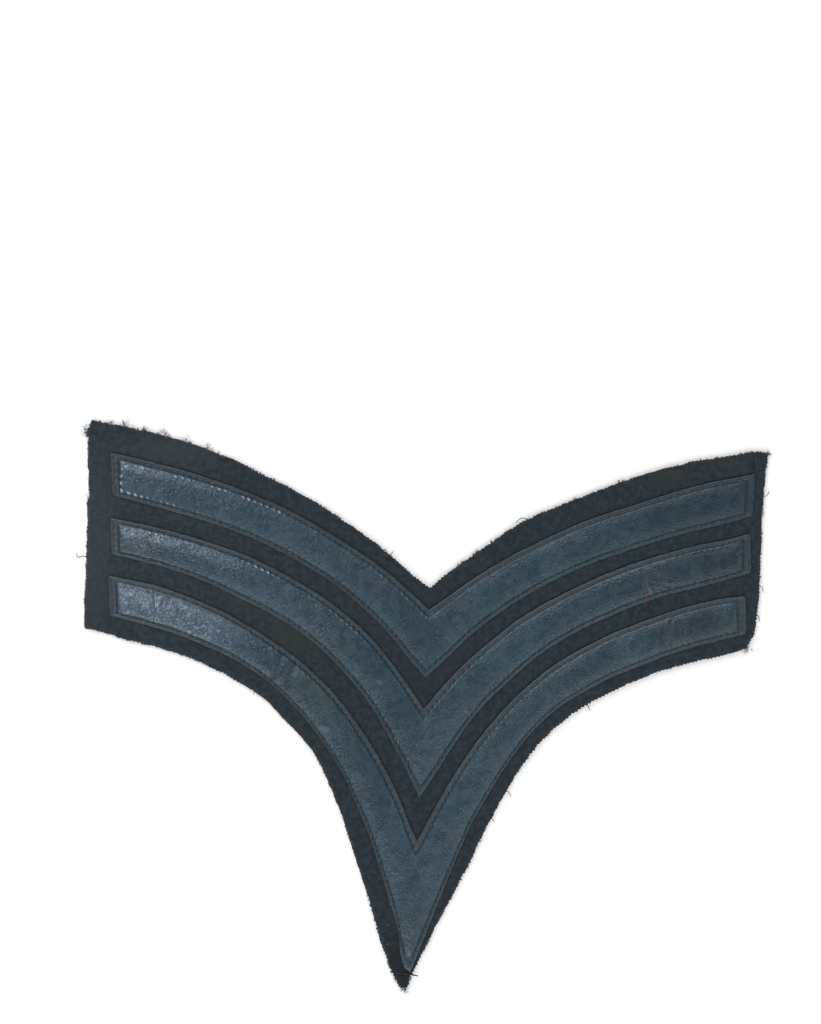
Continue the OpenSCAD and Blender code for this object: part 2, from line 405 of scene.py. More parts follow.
def wrinkleGroup():
    # long thin creases, Size mm apart, running at Turn, drawn out by Stretch
    group, given, out = newGroup("wrinkles", {
        "Vector": None, "Size": 1.2, "Turn": 0.0, "Stretch": 4.0}, ["Height"])
    inSteps = perMm(group, given["Vector"], given["Size"])
    running = addNode(group, "ShaderNodeVectorRotate", {"Vector": inSteps, "Angle": given["Turn"]},
                      rotation_type="Z_AXIS").outputs[0]
    shorter = maths(group, "DIVIDE", 1.0, given["Stretch"])
    drawn = vectorMaths(group, "MULTIPLY", running,
                        addNode(group, "ShaderNodeCombineXYZ", {0: shorter, 1: 1.0, 2: 1.0}).outputs[0])
    noise = noiseAt(group, drawn, 1.0, 3.0, Distortion=0.15)[0]
    group.links.new(ramp(group, apart(group, noise, 0.5), 0.0, 0.12), out["Height"])
    return group


def wearAndHighlightGroup():
    # 1 on an edge, fading with Distance over Width mm, broken up by a fine noise
    group, given, out = newGroup("edgeWearAndHighlight", {"Vector": None, "Distance": 1.0, "Width": 0.5, "Broken": 0.5})
    noise = noiseAt(group, perMm(group, given["Vector"], 1.1), 1.0, 4.0)[0]
    share = maths(group, "DIVIDE", given["Distance"], given["Width"])
    near = maths(group, "SUBTRACT", 1.0, share, clamp=True)
    keep = maths(group, "SUBTRACT", 1.0, times(group, ramp(group, noise, 0.35, 0.65), given["Broken"]))
    group.links.new(times(group, near, keep), out["Mask"])
    return group


def lintGroup():
    # scattered pale specks, one in a cell of Size mm, Amount of the cells
    group, given, out = newGroup("lint", {"Vector": None, "Size": 4.0, "Amount": 0.2})
    cells = cellsAt(group, perMm(group, given["Vector"], given["Size"]), 1.0)
    chance = addNode(group, "ShaderNodeSeparateColor", {0: cells["Color"]}).outputs[0]
    chosen = maths(group, "LESS_THAN", chance, given["Amount"])
    group.links.new(times(group, chosen, ramp(group, cells["Distance"], 0.09, 0.03)), out["Mask"])
    return group


def feltGroup():
    # matted wool: crossing yarns of Pitch mm under a tangled nap
    group, given, out = newGroup("felt", {"Vector": None, "Pitch": 0.75, "Weave": 0.3}, ["Height", "Tone"])
    inSteps = perMm(group, given["Vector"], given["Pitch"])
    bent = vectorMaths(group, "ADD", inSteps, noiseAt(group, inSteps, 0.6, 2.0)["Color"])
    yarns = [addNode(group, "ShaderNodeTexWave", {"Vector": bent, "Scale": 0.32, "Distortion": 0.4},
                     bands_direction=direction).outputs[1] for direction in ("X", "Y")]
    nap = noiseAt(group, inSteps, 2.2, 6.0, Roughness=0.75, Distortion=1.2)[0]
    height = maths(group, "ADD", nap, times(group, times(group, *yarns), given["Weave"]))
    group.links.new(height, out["Height"])
    group.links.new(ramp(group, height, 0.38, 0.85), out["Tone"])
    return group


mottle = mottleGroup()
spot = spotGroup()
pebbles = pebbleGroup()
crackle = crackleGroup()
wrinkles = wrinkleGroup()
edgeWearAndHighlight = wearAndHighlightGroup()
lint = lintGroup()
felt = feltGroup()
print("node groups ready")


# What the materials have in common

def startMaterial(name):
    material = bpy.data.materials.new(name)
    material.use_nodes = True
    tree = material.node_tree
    shader = tree.nodes["Principled BSDF"]
    where = tree.nodes.new("ShaderNodeTexCoord").outputs["Object"]
    return material, tree, shader, where


def finishMaterial(tree, shader, tint, roughness, plain, height=None, depth=0.0):
    # plain holds the shader's values that are the same all over, depth is the bump's in mm
    tree.links.new(tint, shader.inputs["Base Color"])
    if roughness:
        tree.links.new(roughness, shader.inputs["Roughness"])
    if height:
        bump = addNode(tree, "ShaderNodeBump", {"Strength": 1.0, "Distance": depth * mm, "Height": height})
        tree.links.new(bump.outputs[0], shader.inputs["Normal"])
    for label, value in plain.items():
        shader.inputs[label].default_value = value


def stored(tree, label):
    return addNode(tree, "ShaderNodeAttribute", {}, attribute_name=label).outputs["Fac"]


def cloudy(tree, where, row):
    # a mask of cloudy patches: size in mm, detail, where they start and are full
    size, detail, start, full = row
    return useGroup(tree, mottle, Vector=where, Size=size, Detail=detail, From=start, To=full)["Mask"]


def specksOf(tree, where, row):
    size, amount = row
    return useGroup(tree, lint, Vector=where, Size=size, Amount=amount)["Mask"]


def paint(tree, under, coats):
    # lays colours over one another: mask, how strong, colour
    for mask, strength, tint in coats:
        under = blendColour(tree, times(tree, mask, strength), under, tint)
    return under


def patched(tree, where, tint, patches, face, ragged):
    # patches of another colour: place and reach in mm, colour, strength
    deep = 30.0               # a patch goes right through the piece
    for place, reach, patchColour, strength in patches:
        mask = useGroup(tree, spot, Vector=where, Centre=(*place, face), Reach=(*reach, deep),
                        Ragged=ragged)["Mask"]
        tint = paint(tree, tint, [(mask, strength, patchColour)])
    return tint


# Wool cloth

clothLook = {
    "dark": (0.021, 0.034, 0.044),
    "light": (0.088, 0.124, 0.158),
    "contrast": 0.8,          # how much of the light colour shows on the nap
    "pitch": 0.75,            # of the yarns, mm
    "weave": 0.07,            # how far the yarns show through the nap
    # clouds of other tones: size in mm, detail, start and full, then how strong and the colour
    "clouds": [
        ((14.0, 3.0, 0.38, 0.62), 0.35, (0.038, 0.046, 0.048)),
        ((4.5, 3.0, 0.42, 0.6), 0.35, (0.030, 0.047, 0.067)),
        ((1.6, 3.0, 0.4, 0.6), 0.75, (0.017, 0.027, 0.035)),
    ],
    "face": 1.8,              # height of the patches' middles
    "ragged": 1.4,
    # patches of another colour: place and reach in mm, colour, strength
    "patches": [
        ((-79.7, 75.4), (9, 3), (0.046, 0.052, 0.042), 0.5),
        ((-36.0, 21.5), (16, 9), (0.044, 0.050, 0.040), 0.5),
        ((-50.0, 30.0), (10, 5), (0.044, 0.050, 0.042), 0.4),
        ((72.5, 75.0), (9, 4), (0.046, 0.052, 0.042), 0.5),
        ((89.4, 80.0), (12, 4), (0.048, 0.048, 0.048), 0.5),
        ((-61.5, 73.0), (3.0, 1.2), (0.014, 0.006, 0.007), 1.0),
        ((2.5, 18.0), (18, 30), (0.028, 0.033, 0.044), 0.5),
        ((0.0, -78.0), (10, 16), (0.016, 0.020, 0.024), 0.7),
        # painted light: paler at the left end, where more light falls
        ((-99.0, 45.0), (9, 48), (0.053, 0.066, 0.082), 0.45),
        # painted shade in the small fold at the right end
        ((97.9, 80.2), (0.45, 4.2), (0.018, 0.022, 0.026), 0.8),
        # painted shadow of the loose thread at the tip
        ((-0.2, -78.9), (3.6, 0.6), (0.010, 0.012, 0.015), 0.8),
        # painted light: paler along the top left, where more light falls
        ((-74.0, 75.0), (30, 7), (0.050, 0.064, 0.074), 0.45),
    ],
    "specks": (5.0, 0.1),     # of lint: mm apart, share of them
    "speckColour": (0.16, 0.17, 0.17),
    "speckStrength": 0.7,
    "shade": (0.010, 0.014, 0.017),
    "shadeReach": (0.6, 0.1),  # mm from the leather: none, full
    "shadeStrength": 0.4,
    "roughness": (0.98, 0.86),  # of the dark and the light wool
    "bump": 0.35,
    "plain": {"Specular IOR Level": 0.2, "Sheen Weight": 0.12, "Sheen Roughness": 0.5},
}


def clothMaterial(look):
    material, tree, shader, where = startMaterial("woolCloth")
    wool = useGroup(tree, felt, Vector=where, Pitch=look["pitch"], Weave=look["weave"])
    tint = blendColour(tree, times(tree, wool["Tone"], look["contrast"]), look["dark"], look["light"])
    tint = paint(tree, tint, [(cloudy(tree, where, row), strength, shade)
                              for row, strength, shade in look["clouds"]])
    tint = patched(tree, where, tint, look["patches"], look["face"], look["ragged"])
    beside = ramp(tree, stored(tree, "besideLeather"), *look["shadeReach"])
    tint = paint(tree, tint, [
        (specksOf(tree, where, look["specks"]), look["speckStrength"], look["speckColour"]),
        (beside, look["shadeStrength"], look["shade"]),
    ])
    roughness = ramp(tree, wool["Tone"], 0.0, 1.0, *look["roughness"])
    finishMaterial(tree, shader, tint, roughness, look["plain"], wool["Height"], look["bump"])
    return material


# Single fibres and threads, each a little different
fibreLook = {
    "mottle": (0.9, 2.0, 0.3, 0.7),
    "shares": (0.4, 0.6),     # of the mottle and of each fibre's own tone in its colour
    "roughness": (0.9, 0.7),
    "plain": {"Specular IOR Level": 0.25},
}


def fuzzMaterial(name, dark, light):
    material, tree, shader, where = startMaterial(name)
    tone = cloudy(tree, where, fibreLook["mottle"])
    mixed = maths(tree, "ADD", *[times(tree, part, share) for part, share in zip(
        (tone, stored(tree, "tone")), fibreLook["shares"])])
    roughness = ramp(tree, tone, 0.0, 1.0, *fibreLook["roughness"])
    finishMaterial(tree, shader, blendColour(tree, mixed, dark, light), roughness, fibreLook["plain"])
    return material


# Leather

leatherLook = {
    "deep": (0.020, 0.052, 0.079),
    "blue": (0.029, 0.070, 0.106),
    "grey": (0.035, 0.056, 0.070),
    # the pale colour of worn leather, also laid on the cut edge and the puckers as a painted highlight
    "wearAndHighlight": (0.080, 0.107, 0.120),
    # a darker tone: the grain's own, and painted shade in the rows of stitches and the creases of the grain
    "valley": (0.012, 0.024, 0.036),
    # painted shade in the folds
    "fold": (0.009, 0.034, 0.052),
    "border": (0.016, 0.028, 0.034),
    "endBorder": (0.014, 0.024, 0.026),
    # painted sheen and painted glints
    "sheen": (0.080, 0.126, 0.176),
    "glint": (0.37, 0.45, 0.60),
    # cloudy masks: size in mm, detail, where they start and are full
    "clouds": (11.0, 4.0, 0.36, 0.62),
    "smallClouds": (2.2, 5.0, 0.4, 0.7),
    "grainTone": (0.9, 2.0, 0.38, 0.6),
    "streaky": (7.0, 3.0, 0.45, 0.6),
    "wearAndGlintPatches": (4.0, 3.0, 0.35, 0.6),
    "polish": (3.2, 4.0, 0.35, 0.65),
    # how strongly each mask lays its colour on
    "strength": {
        "smallClouds": 0.45, "grainTone": 0.22, "streaks": 0.24, "valley": 0.3, "wearAndHighlight": 0.85,
        "bead": 0.35, "beadGlint": 0.75, "worn": 0.28, "crackle": 0.8, "endLine": 0.5, "specks": 0.5,
    },
    # changes from the left to the right wing: from and to in mm, value at each
    "lively": (30, 80, 1.0, 0.4),
    "borderFade": (-30, 10, 1.0, 0.35),
    "endFade": (-30, 10, 0.5, 0.15),
    "rowFade": (0, 60, 0.7, 0.35),
    # masks that go by a distance in mm: none, full
    "borderReach": (1.5, 1.2),  # from a long edge
    "endReach": (2.7, 2.3),   # from a wing end
    "rowReach": (0.36, 0.12),  # from a row of stitches
    "polishReach": (1.2, 1.7),  # from a long edge
    "borderClouds": (0.9, 0.6),  # strength of the border's colour outside and inside the clouds
    "face": 3.0,              # height of the patches' middles
    "ragged": 1.2,
    "grain": (0.6, 0.35),     # pebbles: size in mm, how uneven
    "wrinkles": (1.3, -0.6, 3.0),  # size in mm, turn, how drawn out
    "wrinkleDepth": 0.35,     # against the grain's
    "bump": 0.1,
    "cutEdgeWearAndHighlight": (0.5, 0.9),  # the worn cut edge, paler partly as a painted highlight: mm wide, how broken
    "endLine": (0.3, 0.9),    # the worn line beside the stitches of a wing end, the same
    "endLinePlace": 2.0,      # mm from the wing end
    "beadGlint": (0.9, 2.6),  # height of the puckers where a glint starts and is full
    "beadGloss": 0.6,
    "wearAndGlintLeast": (0.45, 1.0),  # how much of the polish and the painted sheen and glints shows outside and inside the patches
    "crackle": [(0.95, 0.05, 1.0), (0.55, 0.04, 0.7)],  # painted glint net: size, width, how strong
    "specks": (6.0, 0.08),    # mm apart, share of them
}


def acrossPatch(tree, where, row):
    start, end, atStart, atEnd = row
    across = addNode(tree, "ShaderNodeSeparateXYZ", {0: where}).outputs[0]
    return ramp(tree, across, start * mm, end * mm, atStart, atEnd)


def wearAndHighlightLine(tree, where, distance, row):
    width, broken = row
    return useGroup(tree, edgeWearAndHighlight, Vector=where, Distance=distance, Width=width, Broken=broken)["Mask"]


def leatherMaterial(name, look, patches, shine):
    material, tree, shader, where = startMaterial(name)
    much = look["strength"]
    edge, fromEnd, crease, bead, valley, worn = [stored(tree, label) for label in (
        "edgeDistance", "fromEnd", "crease", "bead", "valley", "worn")]
    clouds = cloudy(tree, where, look["clouds"])
    lively = acrossPatch(tree, where, look["lively"])

    # the plain leather
    tint = blendColour(tree, clouds, look["deep"], look["blue"])
    tint = paint(tree, tint, [
        (cloudy(tree, where, look["smallClouds"]), much["smallClouds"], look["grey"]),
        (cloudy(tree, where, look["grainTone"]), much["grainTone"], look["valley"]),
    ])
    tint = patched(tree, where, tint, patches, look["face"], look["ragged"])

    # fine creases, drawn out along the leather, in patches only, with a painted sheen along them
    size, turn, stretch = look["wrinkles"]
    fine = useGroup(tree, wrinkles, Vector=where, Size=size, Turn=turn, Stretch=stretch)["Height"]
    streaky = cloudy(tree, where, look["streaky"])
    streaks = times(tree, times(tree, maths(tree, "SUBTRACT", 1.0, fine), streaky), lively)

    # the stitched border, and painted shade along its rows of stitches
    inBorder = times(tree, ramp(tree, edge, *look["borderReach"]),
                     ramp(tree, clouds, 0.0, 1.0, *look["borderClouds"]))
    inBorder = times(tree, inBorder, acrossPatch(tree, where, look["borderFade"]))
    atEnd = times(tree, ramp(tree, fromEnd, *look["endReach"]), acrossPatch(tree, where, look["endFade"]))
    inRow = times(tree, ramp(tree, apart(tree, edge, leather["stitchInset"]), *look["rowReach"]),
                  acrossPatch(tree, where, look["rowFade"]))

    # wear, partly painted as highlights, and painted sheen and glints where the left wing is polished
    wearAndHighlight = wearAndHighlightLine(tree, where, edge, look["cutEdgeWearAndHighlight"])
    endLine = wearAndHighlightLine(tree, where, apart(tree, fromEnd, look["endLinePlace"]), look["endLine"])
    wearAndGlintPatches = ramp(tree, cloudy(tree, where, look["wearAndGlintPatches"]), 0.0, 1.0, *look["wearAndGlintLeast"])
    worn = times(tree, worn, wearAndGlintPatches)
    nets = [times(tree, useGroup(tree, crackle, Vector=where, Size=size, Width=width)["Mask"], strong)
            for size, width, strong in look["crackle"]]
    tops = times(tree, maths(tree, "MAXIMUM", *nets), worn)

    tint = paint(tree, tint, [
        (streaks, much["streaks"], look["sheen"]),
        (inBorder, 1.0, look["border"]),
        (atEnd, 1.0, look["endBorder"]),
        # painted shade in the rows of stitches, the creases of the grain and the folds
        (inRow, 1.0, look["valley"]),
        (valley, much["valley"], look["valley"]),
        (crease, 1.0, look["fold"]),
        # the worn cut edge and the puckers paler, partly as a painted highlight, and a painted glint on the
        # tallest puckers
        (wearAndHighlight, much["wearAndHighlight"], look["wearAndHighlight"]),
        (bead, much["bead"], look["wearAndHighlight"]),
        (ramp(tree, bead, *look["beadGlint"]), much["beadGlint"], look["glint"]),
        # painted sheen and painted glints where the left wing is polished
        (worn, much["worn"], look["sheen"]),
        (tops, much["crackle"], look["glint"]),
        (times(tree, endLine, lively), much["endLine"], look["wearAndHighlight"]),
        (specksOf(tree, where, look["specks"]), much["specks"], look["wearAndHighlight"]),
    ])

    # polished where it is worn, dull in the border and the folds
    gloss = times(tree, cloudy(tree, where, look["polish"]), ramp(tree, edge, *look["polishReach"]))
    gloss = maths(tree, "MAXIMUM", gloss, times(tree, bead, look["beadGloss"], clamp=True))
    gloss = maths(tree, "MAXIMUM", gloss, worn)
    gloss = times(tree, gloss, maths(tree, "SUBTRACT", 1.0, crease))
    dull, polished, specular = shine

    size, uneven = look["grain"]
    grain = useGroup(tree, pebbles, Vector=where, Size=size, Uneven=uneven)["Height"]
    height = maths(tree, "ADD", grain, times(tree, times(tree, fine, streaky), look["wrinkleDepth"]))
    finishMaterial(tree, shader, tint, ramp(tree, gloss, 0.0, 1.0, dull, polished),
                   {"Specular IOR Level": specular}, height, look["bump"])
    return material


# The three leather bars

leather = {
    "width": 12.7,
    "underside": 1.72,
    "thickness": 0.62,
    "outlineStep": 0.5,       # between the points of an edge
    "outlineRound": 4.0,      # mm over which the CAD outline's facets are rounded off
    "shake": (0.06, 1.8, 2),  # small unevenness of the cut: depth, size, mm at both ends without it
    "bluntAway": (1.6, 5, 14),  # mm from the tip: a blunt tip's shift full from here, to here, gone here
    "stitchInset": 1.1,       # from the long edges to their stitch rows
    "endInset": 1.35,         # from a wing end to its stitch row
    # mm from a wing end, and how far from a long edge the leather looks the same
    "endProfile": ([0, 1.35, 2.4, 4.0, 40], [0, 1.1, 1.22, 2.7, 38.7]),
    "cornerRound": 0.8,
    # the cut edge: inset from the outline and height over the underside
    "cutEdge": [(0.10, 0.0), (0.0, 0.25), (0.05, 0.42), (0.16, 0.54), (0.36, 0.6)],
    "fullInset": (0.4, 0.8),  # inset over which the rest of the thickness is reached
    # the other rows of points, in mm from a long edge: close at the stitches, then even to the middle
    "rows": [0.58, 0.75, 0.88, 0.99, 1.08, 1.17, 1.27, 1.4, 1.55, 1.72, 1.9, 2.1]
            + [2.35 + 0.25 * k for k in range(17)],
    # the other columns at a wing end, in mm from it, and the even ones after them
    "endColumns": [0.7, 1.0, 1.25, 1.5, 1.75, 2.0, 2.2, 2.4, 2.6, 2.85, 3.15, 3.5],
    "columnStep": 0.25,
    "ridgeEase": (3, 5),      # rounds and columns over which the ridge between the wings is eased
    "pitch": 2.0,             # of the stitches
    "groove": (0.14, 0.32),   # pressed in along the stitches: depth, half width
    "dimple": (0.1, 0.3),     # the same of each needle hole
    "step": (0.26, 0.8),      # how far the leather steps up inside the stitches, over how many mm
    "crown": 0.65,            # how far the middle stands over that
    "flatTop": 2.6,           # how flat that middle is
    "endSlope": 2.6,          # mm over which it rises from a wing end
    "softFrom": (0.2, 1.6),   # mm inside the stitches where the soft middle starts and is full
    "surface": (0.3, 0.7),    # mm from the edge where the grain starts and is full
    "grainDepth": 0.035,
    "grainLean": 0.16,        # slope of the most tilted pebbles
    "grainShares": (0.35, 0.65),  # of it all over and in the soft middle only
    "fullness": (0.7, 0.5, 5),  # strength of the grain: mean, how far it varies, mm between
    "smoother": (30, 80, 0.85),  # the right wing's grain: less from, least from, how much less
    "swells": (0.07, 11),     # depth and size of the soft middle's unevenness
    "ripples": (0.02, 1.6),   # the same, smaller and all over
    "wearAndGlintFade": 0.08,         # softness of the long sides of a polished zone with painted sheen and glints
    "creaseWander": (0.4, 4.5),  # how far a crease strays, over how many mm
    "creaseEnds": 0.8,        # mm over which it runs out
    "creaseInset": (0.2, 1.2),  # mm from the edge where it starts and is full
    "creaseLip": (2.2, 1.4),  # place and width of the lips beside it, in widths of the crease
    "wrinkleStretch": 4.5,
    "wrinkleBend": (0.3, 3),
    "wrinkleSize": 0.75,
}

# The small folds that the stitches pull into the leather beside them
puckers = {
    "height": 0.12,
    "place": 0.7,             # mm inside the stitches
    "further": (0.55, 0.1),   # and that much more near the left wing ends, along the upper and lower edge
    "reach": 0.4,
    "nearEnd": (48, 20),      # mm from a wing end where that starts and is full
    "upperFade": (0.75, 0.2),  # share of the left wing where the upper ones start to grow and are full
    "lowerShare": 0.75,       # how much of that the lower ones grow, close to the wing end
    "rightFade": (35, 70, 0.55),  # on the right wing: lower from, lowest from, how much lower
    "drift": (2.0, 5),        # how far they stray from the pitch, over how many mm
    "uneven": (0.65, 1.3, 3.5, 0.1),  # heights: mean, how far they vary, over how many mm, least
}

# grain is the size of the pebbles in mm, the way they are drawn out in degrees, and how much
# wander is how far each hand-cut edge lies outside the plain one, evenly spaced from wing end to centre line
# blunt is how far the lower edge is moved aside near the tip
# lean is where the puffed middle slopes up the patch, how far that reaches in mm, and the slope
# next, the zones where the left wing is polished and painted with sheen and glints: full and no more at mm
# from its end, across from and to (0 low edge, 1 high edge), how much
# creases have both ends, depth, width, height of the lips and the darkness of their painted shade, wrinkles
# have place, reach, turn and depth, patches have place, reach, colour and strength
# beads is how lively the puckers are on the left and the right wing
# shine is the roughness where dull and where polished, and the specular level
bars = {
    "top_bar": {
        "seed": 101,
        "grain": (0.75, 35, 1.9),
        "wander": {
            "leftLow": [-0.3, -0.5, -0.6, -0.6, -0.65, -0.93, -1.1, -1.3, -1.45, -1.6, -1.45, -1.2, -0.65,
                        0.1, 0.12],
            "leftHigh": [-0.3, -0.1, -0.1, -0.05, 0.05, 0.28, 0.45, 0.8, 0.82, 0.87, 0.94, 1.1, 1.1, 0.86,
                         0.58],
            "rightLow": [-0.1, -0.2, -0.4, -0.6, -0.45, -0.1, 0.45, 1.3, 1.5, 1.4, 0.7, -0.05, -0.25, 0.0,
                         0.12],
            "rightHigh": [-1.1, -0.6, -0.05, -0.05, -0.35, -0.6, -0.3, 0.05, 0.1, 0.2, 0.4, 0.47, 0.5,
                          0.4, 0.58],
        },
        "blunt": 0,
        "lean": ((-95, 68), 25, -0.03),
        "worn": [(10, 40, 0.69, 0.88, 1.25), (3, 12, 0.12, 0.88, 0.25)],
        "creases": [],
        "wrinkles": [((-66, 62), (22, 8), 50, 0.05)],
        "patches": [
            ((-12.3, 36.9), (5, 5), (0.044, 0.048, 0.078), 0.5),
            ((66, 66), (50, 16), (0.016, 0.036, 0.055), 0.55),
            ((90, 74), (18, 12), (0.012, 0.029, 0.048), 0.6),
            # these two: painted shade that darkens the left wing against the glint lamp's light
            ((-66, 58), (36, 18), (0.016, 0.050, 0.078), 0.55),
            ((-88, 63), (24, 14), (0.012, 0.036, 0.060), 0.55),
        ],
        "beads": (1.8, 0.45),
        "shine": (0.40, 0.20, 0.45),
    },
    "middle_bar": {
        "seed": 202,
        "grain": (0.7, 20, 1.2),
        "wander": {
            "leftLow": [0.05, -0.5, -0.88, -0.68, -0.1, 0.2, -0.1, -0.45, -0.7, -0.6, -0.4, -0.27, 0.2, 0.5,
                        0.2, 0],
            "leftHigh": [-1.1, -0.3, 0.45, 0.85, 1.0, 0.92, 0.9, 0.92, 1.0, 1.28, 1.4, 1.45, 1.2, 0.85, 0.5,
                         0.48],
            "rightLow": [0.2, -0.05, -0.45, -1.0, -1.05, -0.4, 0.5, 0.97, 1.06, 1.14, 0.75, -0.28, -0.8,
                         -0.7, -0.1, 0],
            "rightHigh": [-1.9, -1.3, -0.2, 0.55, 1.05, 1.28, 1.1, 0.85, 0.92, 1.08, 1.17, 0.9, 0.85, 0.8,
                          0.62, 0.48],
        },
        "blunt": 0,
        "lean": ((-92, 48), 30, 0.03),
        "worn": [(12, 52, 0.58, 0.9, 0.95), (5, 20, 0.12, 0.9, 0.15)],
        "creases": [
            ((65.8, 46.2), (68.5, 39.2), 0.12, 0.5, 0.06, 0.3),
            ((68.5, 45.0), (76.0, 44.0), 0.05, 0.4, 0.03, 0.12),
            ((69.0, 43.0), (75.0, 42.4), 0.04, 0.4, 0.02, 0.1),
        ],
        "wrinkles": [((-84, 50), (14, 5), 10, 0.04), ((-30, 23), (7, 6), 60, 0.06)],
        "patches": [
            ((84, 48), (34, 14), (0.016, 0.036, 0.055), 0.5),
            ((90, 49), (16, 10), (0.013, 0.031, 0.044), 0.45),
            # these two: painted shade that darkens the left wing against the glint lamp's light
            ((-58, 44), (34, 18), (0.015, 0.048, 0.078), 0.65),
            ((-86, 44), (22, 10), (0.012, 0.037, 0.056), 0.45),
            ((-26.0, 20.0), (6, 5), (0.028, 0.042, 0.048), 0.6),
            ((-31.0, 26.5), (6, 5), (0.016, 0.046, 0.076), 0.5),
            ((28, 22), (16, 16), (0.034, 0.080, 0.122), 0.45),
            ((66.8, 43.0), (1.2, 4.0), (0.064, 0.070, 0.064), 0.5),
            ((68.3, 38.9), (1.2, 1.2), (0.15, 0.035, 0.035), 0.8),
            ((-11.2, 8.6), (1.8, 1.2), (0.090, 0.125, 0.160), 0.6),
        ],
        "beads": (1.0, 1.1),
        "shine": (0.38, 0.15, 0.55),
    },
    "bottom_bar": {
        "seed": 303,
        "grain": (0.75, 80, 1.25),
        "wander": {
            "leftLow": [-0.4, -0.6, -0.6, -0.75, -1.2, -1.65, -1.8, -1.55, -1.1, -0.6, -0.2, 0.5, 0.4, 0.2,
                        0.1, 0, 0, 0],
            "leftHigh": [0.2, 0.3, 0.4, 0.4, 0.4, 0.5, 0.5, 0.6, 0.87, 1.07, 1.1, 0.9, 0.5, 0.35, 0.1, 0, 0,
                         0.2],
            "rightLow": [-0.6, -0.7, -0.6, -0.05, 0.2, -0.2, -0.5, -1.1, -1.1, -0.7, 0.05, 0.55, 0.35, 0.1,
                         0, 0, 0, 0, 0],
            "rightHigh": [-0.95, 0, 0.5, 0.45, 0.45, 0.7, 1.1, 1.42, 1.8, 2.1, 2.0, 1.9, 1.55, 1.2, 0.8, 0.5,
                          0.45, 0.4, 0.2],
        },
        "blunt": 1.4,
        "lean": ((-83, 29), 30, 0.087),
        "worn": [(28, 50, 0.06, 0.94, 1.0)],
        "creases": [
            ((-36.6, 14.2), (-40.3, 6.4), 0.4, 1.5, 0.03, 1.0),
            ((-41.0, 15.6), (-44.0, 8.4), 0.25, 1.3, 0.02, 0.8),
            ((75.4, 31.5), (75.7, 25.5), 0.12, 0.4, 0.08, 0.3),
        ],
        "wrinkles": [((-82, 30), (13, 8), 85, 0.09), ((-31, 8), (9, 9), 20, 0.07)],
        "patches": [
            ((-32, 8), (7, 7), (0.035, 0.066, 0.070), 0.8),
            ((-27.0, 0.0), (4.5, 6), (0.035, 0.060, 0.060), 0.8),
            # painted glint
            ((-27.0, -6.3), (2.0, 1.1), (0.110, 0.150, 0.200), 0.8),
            ((86, 29), (28, 12), (0.016, 0.034, 0.048), 0.65),
            # painted shade that darkens the left wing against the glint lamp's light
            ((-54, 22), (18, 14), (0.015, 0.048, 0.078), 0.6),
            ((75.5, 28.5), (1.2, 4.0), (0.052, 0.047, 0.048), 0.5),
        ],
        "beads": (0.3, 0.9),
        "shine": (0.36, 0.15, 0.6),
    },
}


def handCut(bar, side, which, line):
    # a plain edge made to wander as the hand-cut one does: side -1 left or 1 right, which 0 lower or 1 upper
    label = ("left" if side < 0 else "right") + ("Low", "High")[which]
    run = lengthAlong(line)
    toTip = run[-1] - run
    # measured across the edge, put on up or down, so that both wings meet on the centre line
    out = curveThrough(bar["wander"][label], run / run[-1]) / np.abs(normalsOf(line)[:, 1]) * (-1, 1)[which]
    depth, size, free = leather["shake"]
    shake = depth * hills(run, np.full(len(run), 3.0), size, bar["seed"] + which + side)
    shake *= ease(run, 0, free) * ease(toTip, 0, free)
    full, until, gone = leather["bluntAway"]
    blunt = bar["blunt"] if label == "leftLow" else 0
    aside = -blunt * ease(toTip, 0, full) * (1 - ease(toTip, until, gone))
    return line + np.stack([aside, out + shake], 1)


def wingsOf(name):
    # the upper and lower edge of each wing, from the wing end to the centre line
    loop = cadOutline(name)
    corners = cornersOf(loop, 6)
    lowerLeftCorner = min(corners, key=lambda i: loop[i][0] + 0.2 * loop[i][1])
    first = corners.index(lowerLeftCorner)
    corners = corners[first:] + corners[:first]
    parts = []
    for a, b in zip(corners, corners[1:] + corners[:1]):
        part = loop[(a + np.arange((b - a) % len(loop) + 1)) % len(loop)]
        parts.append(softened(part, leather["outlineStep"], leather["outlineRound"]))
    lowerLeft, lowerRight, _, upperRight, upperLeft, _ = parts    # the two others are the wing ends
    wings = []
    for side, low, high in ((-1, lowerLeft, upperLeft[::-1]), (1, lowerRight[::-1], upperRight)):
        low, high = [handCut(bars[name], side, k, line) for k, line in enumerate((low, high))]
        wings.append({"side": side, "low": low, "high": high, "lowRun": lengthAlong(low),
                      "highRun": lengthAlong(high)})
    return wings


def loopOf(wings):
    left, right = wings
    return np.concatenate([left["low"][:-1], right["low"][::-1], right["high"][:-1], left["high"][::-1]])


def meanLength(wing):
    return (wing["lowRun"][-1] + wing["highRun"][-1]) / 2


def onWing(wing, share, v):
    # x, y at a share of the way from the wing end to the centre line, v from lower to upper edge
    places = []
    for k in range(2):
        low = np.interp(share, wing["lowRun"] / wing["lowRun"][-1], wing["low"][:, k])
        high = np.interp(share, wing["highRun"] / wing["highRun"][-1], wing["high"][:, k])
        places.append(low * (1 - v) + high * v)
    return places


